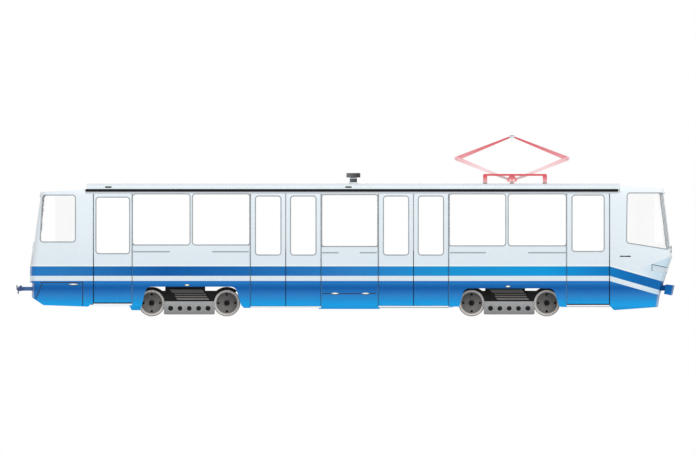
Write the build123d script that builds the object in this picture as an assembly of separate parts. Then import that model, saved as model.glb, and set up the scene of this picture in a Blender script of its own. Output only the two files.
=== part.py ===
from build123d import *
import os
from math import cos, radians, sin

os.makedirs("parts", exist_ok=True)

# A single-ended four-axle tram, 15.4 m long. Millimetres, +Z up.
# The origin lies under the middle of the car at the level of the wheel flanges' lowest points.
# +X points to the cab. All doors are on the right side, which faces -Y.

# Driving dimensions of the body
BODY_WIDTH = 2500.0
SKIN = 40.0
FLOOR_TOP = 890.0
FLOOR_THICK = 40.0
SKIRT_TOP = 812.0
CANT_BOTTOM = 2888.0
CANT_TOP = 2970.0
SEAM_GAP = 3.0
HALF = BODY_WIDTH / 2
WALL_IN = HALF - SKIN

# Doorways: the jambs, the lower edge of the leaves, the jambs that carry a post,
# and the leaf's window: its lower and upper edge, and its distance from the leaf's sides
DOORWAYS = [
    {
        "name": "rear", "x0": -5879.0, "x1": -4981.0, "bottom": 303.0, "posts": ["low"],
        "glass": (1472.0, 2770.0), "side": 58.0,
    },
    {
        "name": "mid_rear", "x0": -2216.0, "x1": -572.0, "bottom": 240.0, "posts": ["low", "high"],
        "glass": (1440.0, 2796.0), "side": 116.0,
    },
    {
        "name": "mid_front", "x0": 770.0, "x1": 2403.0, "bottom": 250.0, "posts": ["low", "high"],
        "glass": (1440.0, 2796.0), "side": 116.0,
    },
    {
        "name": "front", "x0": 5163.0, "x1": 6159.0, "bottom": 271.0, "posts": ["high"],
        "glass": (1523.0, 2818.0), "side": 124.0,
    },
]
REAR_SEAM = DOORWAYS[0]["x0"] - SEAM_GAP
FRONT_SEAM = DOORWAYS[-1]["x1"] + SEAM_GAP

# Running gear
BOGIE_X = {"rear": -3644.0, "front": 3819.0}
WHEELBASE = 1750.0
FLANGE_R = 313.0
TREAD_R = 298.0
WHEEL_IN = 722.0
WHEEL_WIDTH = 118.0
AXLE_R = 70.0

# Doors: one leaf thickness, hung on posts that stand behind the jambs
LEAF_THICK = 36.0
LEAF_INSET = 4.0
LEAF_TOP = 2880.0
JAMB_GAP = 10.0
FREE_GAP = 8.0
MEETING_GAP = 12.0
POST_R = 16.0
POST_CLEAR = 6.0
ARM_THICK = 12.0
ARM_CLEAR = 6.0
ARM_WIDTH = 24.0
PIN_R = 8.0
PIN_FIT = 0.05
POST_PIN_LENGTH = 20.0
LEAF_Y = -HALF + LEAF_INSET + LEAF_THICK / 2
POST_Y = LEAF_Y + LEAF_THICK / 2 + POST_CLEAR + POST_R
POST_TO_EDGE = POST_R + JAMB_GAP
POST_OFFSET = POST_Y - LEAF_Y
WELL_PLATE = 20.0

# Windows: the panes sit in square rebates behind openings with round corners
CORNER_R = 60.0
PANE = 6.0
PANE_INSET = 12.0
REBATE = 12.0


def box(x0, x1, y0, y1, z0, z1):
    """A block between two corners."""
    middle = ((x0 + x1) / 2, (y0 + y1) / 2, (z0 + z1) / 2)
    return Pos(*middle) * Box(abs(x1 - x0), abs(y1 - y0), abs(z1 - z0))


def along_y(face, y0, y1):
    """An outline in x and z, carried from y0 to y1."""
    return extrude(Plane.XZ.offset(-y1) * face, y1 - y0)


def along_x(face, x0, x1):
    """An outline in y and z, carried from x0 to x1."""
    return extrude(Plane.YZ.offset(x0) * face, x1 - x0)


def along_z(face, z0, z1):
    """An outline in x and y, carried from z0 to z1."""
    return extrude(Plane.XY.offset(z0) * face, z1 - z0)


def outline(points):
    return make_face(Polyline(*points, close=True))


def rounded(x0, x1, z0, z1, radius):
    """A rectangle with round corners between two corners."""
    return Pos((x0 + x1) / 2, (z0 + z1) / 2) * RectangleRounded(x1 - x0, z1 - z0, radius)


def rod_y(x, z, radius, y0, y1):
    return Pos(x, (y0 + y1) / 2, z) * Rot(90, 0, 0) * Cylinder(radius, y1 - y0)


def rod_z(x, y, radius, z0, z1):
    return Pos(x, y, (z0 + z1) / 2) * Cylinder(radius, z1 - z0)


def bar_between(start, end, radius):
    """A straight round bar between two points."""
    axis = Vector(*end) - Vector(*start)
    return extrude(Plane(origin=start, z_dir=axis) * Circle(radius), axis.length)


def on_side(side, inner, outer):
    """The two y of a piece that lies between two distances from the car's middle plane."""
    return min(side * inner, side * outer), max(side * inner, side * outer)


def tread_top(doorway):
    """The height of a step well's tread, just under the door's lower arms."""
    return doorway["bottom"] - 2 * ARM_CLEAR - ARM_THICK


def save(name, *solids):
    """Writes the solids of one node to its file."""
    shapes = []
    for solid in solids:
        shapes.extend(solid.solids())
    whole = shapes[0] if len(shapes) == 1 else Compound(children=shapes)
    whole.label = name
    export_step(whole, f"parts/{name}.step")


# End shells
# Each is a loft through plans at a few levels, cut by a side profile and a cross section.
# levels: height and the x of the end face there. profile: the lower and upper edge in side view.
# start: where the sides begin to draw in. taper: how fast. bow: how far the end face bulges.
REAR_END = {
    "root": -5700.0,
    "start": -6250.0,
    "taper": 0.094,
    "bow": 45.0,
    "corner": 150.0,
    "top": 2966.0,
    "levels": [(150, -7317), (779, -7317), (789, -7361), (1164, -7361), (3060, -7098)],
    "upper": [(-5700, 2962), (-6060, 2958), (-7120, 2900), (-7600, 2874)],
    "lower": [(-7600, 628), (-7048, 259), (-6001, 224), (-5942, 290), (-5700, 290)],
}
FRONT_END = {
    "root": 5900.0,
    "start": 6500.0,
    "taper": 0.131,
    "bow": 60.0,
    "corner": 150.0,
    "top": 3042.0,
    "levels": [(100, 7270), (474, 7331), (796, 7426), (1407, 7629), (3060, 7419)],
    "upper": [(5900, 3040), (6409, 3036), (7104, 3017), (7430, 2975), (7900, 2914)],
    "lower": [(7900, 262), (6264, 142), (6180, 226), (5900, 226)],
}
ROOF_EDGE_R = 125.0
BEYOND = 60.0


def plan_face(end, face_x, inset):
    """The plan of one end at one level, with its bowed end face at face_x."""
    sign = 1.0 if end["root"] > 0 else -1.0
    wide = HALF - inset
    tip = face_x - sign * inset
    corner_x = tip - sign * end["bow"]
    half = wide - end["taper"] * abs(corner_x - end["start"])
    edges = [
        Line((end["root"], -wide), (end["start"], -wide)),
        Line((end["start"], -wide), (corner_x, -half)),
        ThreePointArc((corner_x, -half), (tip, 0), (corner_x, half)),
        Line((corner_x, half), (end["start"], wide)),
        Line((end["start"], wide), (end["root"], wide)),
        Line((end["root"], wide), (end["root"], -wide)),
    ]
    face = make_face(edges)
    corners = [v for v in face.vertices() if abs(v.X - corner_x) < 1]
    return fillet(corners, end["corner"] - inset)


def end_form(end, inset):
    """The closed form of one end of the body, moved in by inset."""
    plans = [Pos(0, 0, z) * plan_face(end, x, inset) for z, x in end["levels"]]
    form = loft(plans, ruled=True)
    side = outline(end["upper"] + end["lower"])
    if inset > 0:
        side = offset(side, -inset, kind=Kind.INTERSECTION)
    form = form & along_y(side, -HALF, HALF)
    wide = HALF - inset
    top = end["top"] - inset
    section = outline([(-wide, 0), (wide, 0), (wide, top), (-wide, top)])
    upper = [v for v in section.vertices() if v.Y > top - 1]
    section = fillet(upper, ROOF_EDGE_R - inset)
    reach = sorted((end["root"], end["upper"][-1][0]))
    return form & along_x(section, reach[0] - BEYOND, reach[1] + BEYOND)


# Roof and gutter ends
ROOF_X0 = -6038.0
ROOF_X1 = 6404.0
GUTTER_X0 = -6073.0
GUTTER_X1 = 6367.0
ROOF_TOP = 3098.0
ROOF_SPRING = 3050.0
ROOF_SIDE = HALF - 25.0
ROOF_SHEET = 30.0
ROOF_EDGE_ROUND = 50.0
SHELL_NOTCH_GAP = 4.0

# Windows and lamps of the ends
REAR_QUARTER = [(-7058, 2818), (-6311, 2818), (-6311, 1745), (-7116, 1745)]
CAB_SIDE = [(6581, 2868), (7426, 2868), (7556, 1566), (6567, 1724)]
REAR_QUARTER_IN = HALF - 190.0
CAB_SIDE_IN = HALF - 220.0
REAR_WINDOW = (HALF - 270.0, 1720.0, 2800.0)
WINDSCREEN = (HALF - 300.0, 1560.0, 2850.0)
END_WINDOW_R = 90.0
HEADLAMP = [(7149, 1209), (7900, 1065), (7900, 915), (7149, 1059)]
HEADLAMP_IN = HALF - 560.0
TAIL_LAMP = {"z0": 1180.0, "z1": 1500.0, "y0": HALF - 390.0, "y1": HALF - 250.0}
LAMP_CORNER_R = 40.0
LAMP_FACE = 3.0
LAMP_DEPTH = 30.0
END_CUT_REAR = (-7600.0, -6900.0)
END_CUT_FRONT = (7250.0, 7900.0)

# The ends are open below, inside a lip
OPEN_LIP = 130.0
OPEN_TOP = 400.0
POST_POCKET = 110.0


def side_cutter(points, inner_y, radius):
    """A pair of blocks that cut one side opening on both sides."""
    face = outline(points)
    face = fillet(face.vertices(), radius)
    return along_y(face, -HALF - BEYOND, -inner_y) + along_y(face, inner_y, HALF + BEYOND)


def end_cutter(window, reach):
    half, z0, z1 = window
    return along_x(rounded(-half, half, z0, z1, END_WINDOW_R), *reach)


rear_outer = end_form(REAR_END, 0)
rear_inner = end_form(REAR_END, SKIN)
front_outer = end_form(FRONT_END, 0)
front_inner = end_form(FRONT_END, SKIN)
rear_quarter_cut = side_cutter(REAR_QUARTER, REAR_QUARTER_IN, CORNER_R)
cab_side_cut = side_cutter(CAB_SIDE, CAB_SIDE_IN, CORNER_R)
headlamp_cut = side_cutter(HEADLAMP, HEADLAMP_IN, LAMP_CORNER_R / 2)
rear_window_cut = end_cutter(REAR_WINDOW, END_CUT_REAR)
windscreen_cut = end_cutter(WINDSCREEN, END_CUT_FRONT)
tail_lamp_face = rounded(
    TAIL_LAMP["y0"], TAIL_LAMP["y1"], TAIL_LAMP["z0"], TAIL_LAMP["z1"], LAMP_CORNER_R
)
tail_lamp_cut = along_x(tail_lamp_face, *END_CUT_REAR)
tail_lamp_cut = tail_lamp_cut + mirror(tail_lamp_cut, Plane.XZ)

# The saloon's roof and cant rails run on over the inner ends of the shells
roof_notch = box(
    GUTTER_X0 - SHELL_NOTCH_GAP, ROOF_X1 + SHELL_NOTCH_GAP,
    -HALF - BEYOND, HALF + BEYOND, CANT_BOTTOM - SHELL_NOTCH_GAP, ROOF_TOP + BEYOND,
)


def open_below(end, seam, reach):
    """What is cut from the bottom of a shell: between its lips, and full width at the seam."""
    lip = WALL_IN - OPEN_LIP + SKIN
    narrow = box(end["start"], reach, -lip, lip, 0, OPEN_TOP)
    return narrow + box(seam, end["start"], -WALL_IN, WALL_IN, 0, OPEN_TOP)


rear_end_x = REAR_SEAM - SEAM_GAP
front_end_x = FRONT_SEAM + SEAM_GAP
rear_shell = rear_outer - rear_inner
rear_shell = rear_shell & box(
    REAR_END["upper"][-1][0], rear_end_x, -HALF - BEYOND, HALF + BEYOND, 0, ROOF_TOP + BEYOND
)
rear_shell = rear_shell - roof_notch - open_below(REAR_END, REAR_SEAM, -7000.0)
rear_shell = rear_shell - box(rear_end_x - POST_POCKET, REAR_SEAM, -WALL_IN, WALL_IN, 0, CANT_BOTTOM)
rear_shell = rear_shell - rear_quarter_cut - rear_window_cut - tail_lamp_cut
front_shell = front_outer - front_inner
front_shell = front_shell & box(
    front_end_x, FRONT_END["upper"][-1][0], -HALF - BEYOND, HALF + BEYOND, 0, ROOF_TOP + BEYOND
)
front_shell = front_shell - roof_notch - open_below(FRONT_END, FRONT_SEAM, 7180.0)
front_shell = front_shell - cab_side_cut - windscreen_cut - headlamp_cut
save("rear_shell", rear_shell)
save("front_shell", front_shell)

rear_pane = end_form(REAR_END, PANE_INSET) - end_form(REAR_END, PANE_INSET + PANE)
front_pane = end_form(FRONT_END, PANE_INSET) - end_form(FRONT_END, PANE_INSET + PANE)
glass = [
    rear_pane & rear_window_cut,
    rear_pane & rear_quarter_cut,
    front_pane & windscreen_cut,
    front_pane & cab_side_cut,
]

rear_lens = end_form(REAR_END, LAMP_FACE) - end_form(REAR_END, LAMP_DEPTH)
front_lens = end_form(FRONT_END, LAMP_FACE) - end_form(FRONT_END, LAMP_DEPTH)
save("tail_lamps", rear_lens & tail_lamp_cut)
save("headlamps", front_lens & headlamp_cut)

# Saloon walls
# Bays between the doorways: number of windows, their lower and upper edge,
# and how far the pillar between them stands from the middle of the bay.
BAYS = [
    {"windows": 2, "z0": 1675.0, "z1": 2846.0, "shift": 0.0},
    {"windows": 1, "z0": 1640.0, "z1": 2830.0, "shift": 0.0},
    {"windows": 2, "z0": 1654.0, "z1": 2846.0, "shift": -15.0},
]
BAY_MARGIN = 21.0
PILLAR = 77.0
SQUARE_R = 10.0
LEFT_MARGIN = 65.0
LEFT_TOP = 2846.0
LEFT_LOWER = 4.0
LEFT_LOW = DOORWAYS[1]["glass"][0] - LEFT_LOWER
bays = []
for bay, before, after in zip(BAYS, DOORWAYS, DOORWAYS[1:]):
    bays.append({**bay, "x0": before["x1"], "x1": after["x0"]})


def bay_windows(bay):
    """The ends of each window of one bay."""
    edges = [bay["x0"] + BAY_MARGIN, bay["x1"] - BAY_MARGIN]
    if bay["windows"] == 2:
        pillar_x = (bay["x0"] + bay["x1"]) / 2 + bay["shift"]
        edges = [edges[0], pillar_x - PILLAR / 2, pillar_x + PILLAR / 2, edges[1]]
    return list(zip(edges[::2], edges[1::2]))


def window_face(x0, x1, z0, z1, jambs):
    """A window opening with round corners, but square below where it meets a jamb."""
    face = outline([(x0, z0), (x1, z0), (x1, z1), (x0, z1)])
    square = [v for v in face.vertices() if v.Y < z0 + 1 and any(abs(v.X - x) < 2 * BAY_MARGIN for x in jambs)]
    corners = [v for v in face.vertices() if v not in square]
    face = fillet(corners, CORNER_R)
    left = [v for v in face.vertices() if v.Y < z0 + 1 and any(abs(v.X - x) < 2 * BAY_MARGIN for x in jambs)]
    return fillet(left, SQUARE_R) if left else face


def wall_panel(x0, x1, windows, side, jambs=()):
    """A wall panel of one side (-1 right, +1 left) with its windows cut and rebated."""
    y0, y1 = on_side(side, WALL_IN, HALF)
    panel = box(x0, x1, y0, y1, SKIRT_TOP, CANT_BOTTOM)
    for wx0, wx1, wz0, wz1 in windows:
        panel = panel - along_y(window_face(wx0, wx1, wz0, wz1, jambs), y0 - 5, y1 + 5)
        grown = (wx0 - REBATE, wx1 + REBATE)
        tall = (wz0 - REBATE, wz1 + REBATE)
        panel = panel - box(*grown, *on_side(side, WALL_IN - 5, HALF - PANE_INSET), *tall)
        glass.append(box(*grown, *on_side(side, HALF - PANE_INSET - PANE, HALF - PANE_INSET), *tall))
    return panel


right_walls = []
left_windows = []
for bay in bays:
    ends = bay_windows(bay)
    windows = [(*x, bay["z0"], bay["z1"]) for x in ends]
    right_walls.append(wall_panel(bay["x0"], bay["x1"], windows, -1, (bay["x0"], bay["x1"])))
    left_windows += [(*x, bay["z0"] - LEFT_LOWER, LEFT_TOP) for x in ends]
for doorway in DOORWAYS:
    left_windows.append((doorway["x0"] + LEFT_MARGIN, doorway["x1"] - LEFT_MARGIN, LEFT_LOW, LEFT_TOP))
left_wall = wall_panel(DOORWAYS[0]["x0"], DOORWAYS[-1]["x1"], left_windows, 1)
save("side_walls", *right_walls, left_wall)
save("glazing", *glass)

# Skirts below the walls
# Ends, lower edge behind and ahead of the wheel arch, and how far a toe reaches under the door sill.
SKIRTS = [
    {"side": -1, "x0": bays[0]["x0"], "x1": bays[0]["x1"], "rear": 142.0, "front": 194.0, "toes": (65.0, 0.0)},
    {"side": -1, "x0": bays[1]["x0"], "x1": bays[1]["x1"], "rear": 170.0, "front": 170.0, "toes": (62.0, 40.0)},
    {"side": -1, "x0": bays[2]["x0"], "x1": bays[2]["x1"], "rear": 226.0, "front": 217.0, "toes": (0.0, 0.0)},
    {"side": 1, "x0": DOORWAYS[0]["x0"], "x1": bays[0]["x1"], "rear": 224.0, "front": 194.0, "toes": (0.0, 0.0)},
    {"side": 1, "x0": bays[0]["x1"], "x1": bays[2]["x0"], "rear": 194.0, "front": 194.0, "toes": (0.0, 0.0)},
    {"side": 1, "x0": bays[2]["x0"], "x1": DOORWAYS[-1]["x1"], "rear": 226.0, "front": 217.0, "toes": (0.0, 0.0)},
]
TOE_SLANT = 0.48
TOE_CLEAR = 4.0
# Wheel arches: how far each stands from its bogie's middle, and its upper edge
ARCHES = {"rear": {"shift": 40.0, "top": 690.0}, "front": {"shift": -8.0, "top": 651.0}}
ARCH_LOW_HALF = WHEELBASE / 2 + 291.0
ARCH_LOW_Z = 200.0
ARCH_TOP_HALF = WHEELBASE / 2 + 165.0
ARCH_R = 150.0
ARCH_TOE = 62.0


def arch_face(end):
    """A wheel arch: slanted sides, round upper corners and a toe at the front lower corner."""
    x = BOGIE_X[end] + ARCHES[end]["shift"]
    top = ARCHES[end]["top"]
    points = [
        (x - ARCH_LOW_HALF - ARCH_TOE / 4, 0),
        (x - ARCH_LOW_HALF - ARCH_TOE / 4, ARCH_LOW_Z - ARCH_TOE),
        (x - ARCH_TOP_HALF, top),
        (x + ARCH_TOP_HALF, top),
        (x + ARCH_LOW_HALF, ARCH_LOW_Z + ARCH_TOE),
        (x + ARCH_LOW_HALF + ARCH_TOE, ARCH_LOW_Z),
        (x + ARCH_LOW_HALF + ARCH_TOE, 0),
    ]
    face = outline(points)
    return fillet([v for v in face.vertices() if v.Y > top - 1], ARCH_R)


def sill_low(x):
    """The underside of the step well whose doorway has a jamb at x."""
    doorway = [d for d in DOORWAYS if x in (d["x0"], d["x1"])][0]
    return tread_top(doorway) - WELL_PLATE


def toe_face(x, way, reach, low):
    """The toe of a skirt, which runs on under the sill of the next doorway."""
    top = sill_low(x) - TOE_CLEAR
    return outline([
        (x - way, top),
        (x + way * reach, top),
        (x + way * (reach - TOE_SLANT * (top - low)), low),
        (x - way, low),
    ])


def skirt(row):
    """A skirt panel: a straight run behind the middle of its bogie and one ahead of it."""
    x0, x1 = row["x0"], row["x1"]
    inside = [x for x in BOGIE_X.values() if x0 < x < x1]
    middle = inside[0] if inside else (x0 + x1) / 2
    face = outline([(x0, SKIRT_TOP), (x0, row["rear"]), (middle, row["rear"]), (middle, SKIRT_TOP)])
    face = face + outline([(middle, SKIRT_TOP), (middle, row["front"]), (x1, row["front"]), (x1, SKIRT_TOP)])
    for x, way, reach, low in ((x0, -1, row["toes"][0], row["rear"]), (x1, 1, row["toes"][1], row["front"])):
        if reach > 0:
            face = face + toe_face(x, way, reach, low)
    panel = along_y(face, *on_side(row["side"], WALL_IN, HALF))
    for end in BOGIE_X:
        panel = panel - along_y(arch_face(end), -HALF - 5, HALF + 5)
    return panel


save("skirts", *[skirt(row) for row in SKIRTS])

# Cant rails with the gutter strips
CANT_IN = HALF - 120.0
CANT_LIP = 38.0
LIP_UP = CANT_BOTTOM + 16.0
GUTTER_OUT = 12.0
GUTTER_LOW = 2907.0
GUTTER_END_R = 31.0


def cant_section(side):
    return outline([
        (side * HALF, CANT_BOTTOM),
        (side * (HALF - CANT_LIP), CANT_BOTTOM),
        (side * (HALF - CANT_LIP), LIP_UP),
        (side * CANT_IN, LIP_UP),
        (side * CANT_IN, CANT_TOP),
        (side * HALF, CANT_TOP),
    ])


def post_x(doorway, hand):
    """The axis of a door post: behind its jamb, clear of the leaf's edge."""
    return doorway["x0"] - POST_R if hand == "low" else doorway["x1"] + POST_R


cant_right = along_x(cant_section(-1), GUTTER_X0, GUTTER_X1)
for doorway in DOORWAYS:
    for hand in doorway["posts"]:
        hole_top = LIP_UP + POST_PIN_LENGTH + 2
        cant_right = cant_right - rod_z(post_x(doorway, hand), POST_Y, PIN_R + PIN_FIT, LIP_UP - 1, hole_top)
save("cant_rails", cant_right, along_x(cant_section(1), GUTTER_X0, GUTTER_X1))

gutter_face = rounded(GUTTER_X0, GUTTER_X1, GUTTER_LOW, CANT_TOP, GUTTER_END_R)
save("gutters", *[along_y(gutter_face, *on_side(side, HALF, HALF + GUTTER_OUT)) for side in (-1, 1)])


def roof_face(inset):
    """The arched cross section of the roof, moved in by inset."""
    side = ROOF_SIDE - inset
    spring = ROOF_SPRING - inset
    base = CANT_TOP - (ROOF_EDGE_ROUND if inset > 0 else 0)
    arch = ThreePointArc((-side, spring), (0, ROOF_TOP - inset), (side, spring))
    walls = Polyline((side, spring), (side, base), (-side, base), (-side, spring))
    face = make_face([arch, walls])
    return fillet([v for v in face.vertices() if v.Y > base + 5], ROOF_EDGE_ROUND - inset / 2)


roof_solid = along_x(roof_face(0), ROOF_X0, ROOF_X1)
roof_room = along_x(roof_face(ROOF_SHEET), ROOF_X0 + ROOF_SHEET, ROOF_X1 - ROOF_SHEET)
roof = roof_solid - roof_room
roof = roof + box(GUTTER_X0, ROOF_X0 + ROOF_SHEET, -CANT_IN, CANT_IN, CANT_BOTTOM, CANT_TOP)
roof = roof + box(ROOF_X1 - ROOF_SHEET, ROOF_X1, -CANT_IN, CANT_IN, CANT_BOTTOM, CANT_TOP)
save("roof", roof)

# Step wells
# A tread just under the door arms, a second step outside the sweep of the leaves, and cheeks.
SWEEP_CLEAR = 60.0
CHEEK_CLEAR = 14.0
FREE_SIDE = 8.0
SECOND_STEP_DEPTH = 330.0
SECOND_STEP_SIDE = 700.0
SILL_IN = 35.0
SILL_CLEAR = 8.0


def leaves(doorway):
    """The leaves of a doorway: hand, edge at the post, half width and arm length."""
    span = doorway["x1"] - doorway["x0"]
    width = span - JAMB_GAP - FREE_GAP
    if len(doorway["posts"]) == 2:
        width = (span - 2 * JAMB_GAP - MEETING_GAP) / 2
    rows = []
    for hand in doorway["posts"]:
        rows.append({
            "hand": hand,
            "sign": 1.0 if hand == "low" else -1.0,
            "post": post_x(doorway, hand),
            "half": width / 2,
            "arm": width / 2 + POST_TO_EDGE,
        })
    return rows


def sweep_edge(reach, depth):
    """How far from the post, along the doorway, the turning leaf comes at a given depth."""
    share = min(depth / reach, 1.0)
    return reach * (1 - share ** (2 / 3)) ** 1.5


def well_box(doorway):
    """The step well's inner space: its ends, the y of its back and the reach of the leaf."""
    reach = max(leaf["arm"] + leaf["half"] for leaf in leaves(doorway))
    side = POST_OFFSET + LEAF_THICK / 2 + POST_R + CHEEK_CLEAR
    low = doorway["x0"] - (side if "low" in doorway["posts"] else -FREE_SIDE)
    high = doorway["x1"] + (side if "high" in doorway["posts"] else -FREE_SIDE)
    return low, high, POST_Y + reach + CHEEK_CLEAR, reach


def well_space(doorway):
    """All that a step well takes up, open below and above."""
    low, high, back, reach = well_box(doorway)
    return box(low - WELL_PLATE, high + WELL_PLATE, -HALF - BEYOND, back + WELL_PLATE, 0, FLOOR_TOP + BEYOND)


def step_well(doorway):
    low, high, back, reach = well_box(doorway)
    tread = tread_top(doorway)
    base = tread - WELL_PLATE
    second = (tread + FLOOR_TOP) / 2
    well = box(low - WELL_PLATE, high + WELL_PLATE, -WALL_IN + 2, back + WELL_PLATE, base, FLOOR_TOP)
    well = well - box(low, high, -HALF - 5, back, tread, FLOOR_TOP + 5)
    well = well + box(doorway["x0"], doorway["x1"], -HALF, -WALL_IN + 3, base, tread)
    sill_top = doorway["bottom"] - SILL_CLEAR
    well = well + box(doorway["x0"], doorway["x1"], -HALF, -HALF + SILL_IN, base, sill_top)
    front = POST_Y + SECOND_STEP_DEPTH
    slope = POST_Y + SECOND_STEP_SIDE
    near = sweep_edge(reach, SECOND_STEP_DEPTH) + SWEEP_CLEAR
    far = sweep_edge(reach, SECOND_STEP_SIDE) + SWEEP_CLEAR
    left = [(low, back), (low, front)]
    right = [(high, front), (high, back)]
    if "low" in doorway["posts"]:
        start = post_x(doorway, "low")
        left = [(start + far, back), (start + far, slope), (start + near, front)]
    if "high" in doorway["posts"]:
        start = post_x(doorway, "high")
        right = [(start - near, front), (start - far, slope), (start - far, back)]
    well = well + along_z(outline(left + right), base, second)
    for hand in doorway["posts"]:
        hole_bottom = tread - POST_PIN_LENGTH + 2
        well = well - rod_z(post_x(doorway, hand), POST_Y, PIN_R + PIN_FIT, hole_bottom, tread + 1)
    return well


save("step_wells", *[step_well(doorway) for doorway in DOORWAYS])

# Floor
FLOOR_LOW = FLOOR_TOP - FLOOR_THICK
floor_box = box(-8000, 8000, -WALL_IN, WALL_IN, FLOOR_LOW, FLOOR_TOP)
floor = floor_box & box(REAR_SEAM, FRONT_SEAM, -HALF, HALF, 0, ROOF_TOP)
floor = floor + (floor_box & rear_inner & box(-8000, REAR_SEAM, -HALF, HALF, 0, ROOF_TOP))
floor = floor + (floor_box & front_inner & box(FRONT_SEAM, 8000, -HALF, HALF, 0, ROOF_TOP))
for doorway in DOORWAYS:
    floor = floor - well_space(doorway)
save("floor", floor)

# Underframe: two centre sills and the side sills, stopped by the bolsters, and cross members
FRAME_LOW = 700.0
SPINE_Y = 105.0
SPINE_W = 70.0
BOLSTER_W = 420.0
CROSS_W = 80.0
SIDE_SILL_W = 80.0
END_MEMBER_HALF = WALL_IN - 90.0
FRAME_REAR = -7150.0
FRAME_FRONT = 7150.0
MEMBER_GAP = 130.0
END_MEMBER_GAP = 250.0
PIVOT_R = 60.0
PIVOT_HOLE = 90.0
PAD_SIZE = 160.0
PAD_THICK = 20.0
PAD_Y = WALL_IN - 110.0


def sill(x0, x1, y0, y1):
    """The stretches of one sill that the bolsters and the step wells leave."""
    run = box(x0, x1, y0, y1, FRAME_LOW, FLOOR_LOW)
    for x in BOGIE_X.values():
        run = run - box(x - BOLSTER_W / 2, x + BOLSTER_W / 2, -HALF, HALF, 0, FLOOR_TOP)
    for doorway in DOORWAYS:
        run = run - well_space(doorway)
    return run


sills = []
for side in (-1, 1):
    sills.append(sill(FRAME_REAR, FRAME_FRONT, *on_side(side, SPINE_Y - SPINE_W / 2, SPINE_Y + SPINE_W / 2)))
    sills.append(sill(REAR_SEAM, FRONT_SEAM, *on_side(side, WALL_IN - SIDE_SILL_W, WALL_IN)))
save("sills", *sills)

member_x = [FRAME_REAR + END_MEMBER_GAP, FRAME_FRONT - END_MEMBER_GAP]
for doorway in DOORWAYS:
    low, high, back, reach = well_box(doorway)
    member_x += [low - MEMBER_GAP, high + MEMBER_GAP]
members = []
for x in member_x:
    in_saloon = REAR_SEAM < x < FRONT_SEAM
    outer = WALL_IN - SIDE_SILL_W if in_saloon else END_MEMBER_HALF
    inner = SPINE_Y + SPINE_W / 2
    for y0, y1 in ((-outer, -inner), (SPINE_W / 2 - SPINE_Y, SPINE_Y - SPINE_W / 2), (inner, outer)):
        members.append(box(x - CROSS_W / 2, x + CROSS_W / 2, y0, y1, FRAME_LOW, FLOOR_LOW))
save("cross_members", *members)

bolsters = []
for x in BOGIE_X.values():
    bolster = box(x - BOLSTER_W / 2, x + BOLSTER_W / 2, -WALL_IN, WALL_IN, FRAME_LOW, FLOOR_LOW)
    for side in (-1, 1):
        y = side * PAD_Y
        half = PAD_SIZE / 2
        bolster = bolster + box(x - half, x + half, y - half, y + half, FRAME_LOW - PAD_THICK, FRAME_LOW)
    bolster = bolster - rod_z(x, 0, PIVOT_R + PIN_FIT, FRAME_LOW - 5, FRAME_LOW + PIVOT_HOLE)
    bolsters.append(bolster)
save("bolsters", *bolsters)

# Equipment cases under the floor: ends, side, inner and outer distance from the middle, lower edge
CASE_OUTER = WALL_IN - 40.0
CASES = [
    {"x0": -420.0, "x1": 600.0, "side": -1, "inner": 200.0, "low": 330.0},
    {"x0": -2100.0, "x1": -700.0, "side": 1, "inner": 300.0, "low": 300.0},
    {"x0": -400.0, "x1": 700.0, "side": 1, "inner": 300.0, "low": 280.0},
    {"x0": 1000.0, "x1": 2300.0, "side": 1, "inner": 300.0, "low": 300.0},
    {"x0": -5860.0, "x1": -5150.0, "side": 1, "inner": 300.0, "low": 330.0},
]
CASE_BEVEL = 60.0


def case(row):
    """A closed case with bevelled lower edges."""
    side = row["side"]
    points = [
        (side * row["inner"], FRAME_LOW),
        (side * row["inner"], row["low"] + CASE_BEVEL),
        (side * (row["inner"] + CASE_BEVEL), row["low"]),
        (side * (CASE_OUTER - CASE_BEVEL), row["low"]),
        (side * CASE_OUTER, row["low"] + CASE_BEVEL),
        (side * CASE_OUTER, FRAME_LOW),
    ]
    return along_x(outline(points), row["x0"], row["x1"])


save("underfloor_cases", *[case(row) for row in CASES])

# Door leaves, panes and posts
BRACKET_WIDTH = 60.0
BRACKET_THICK = 14.0
PRESSING = 3.0
PRESSING_EDGE = 70.0


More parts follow.
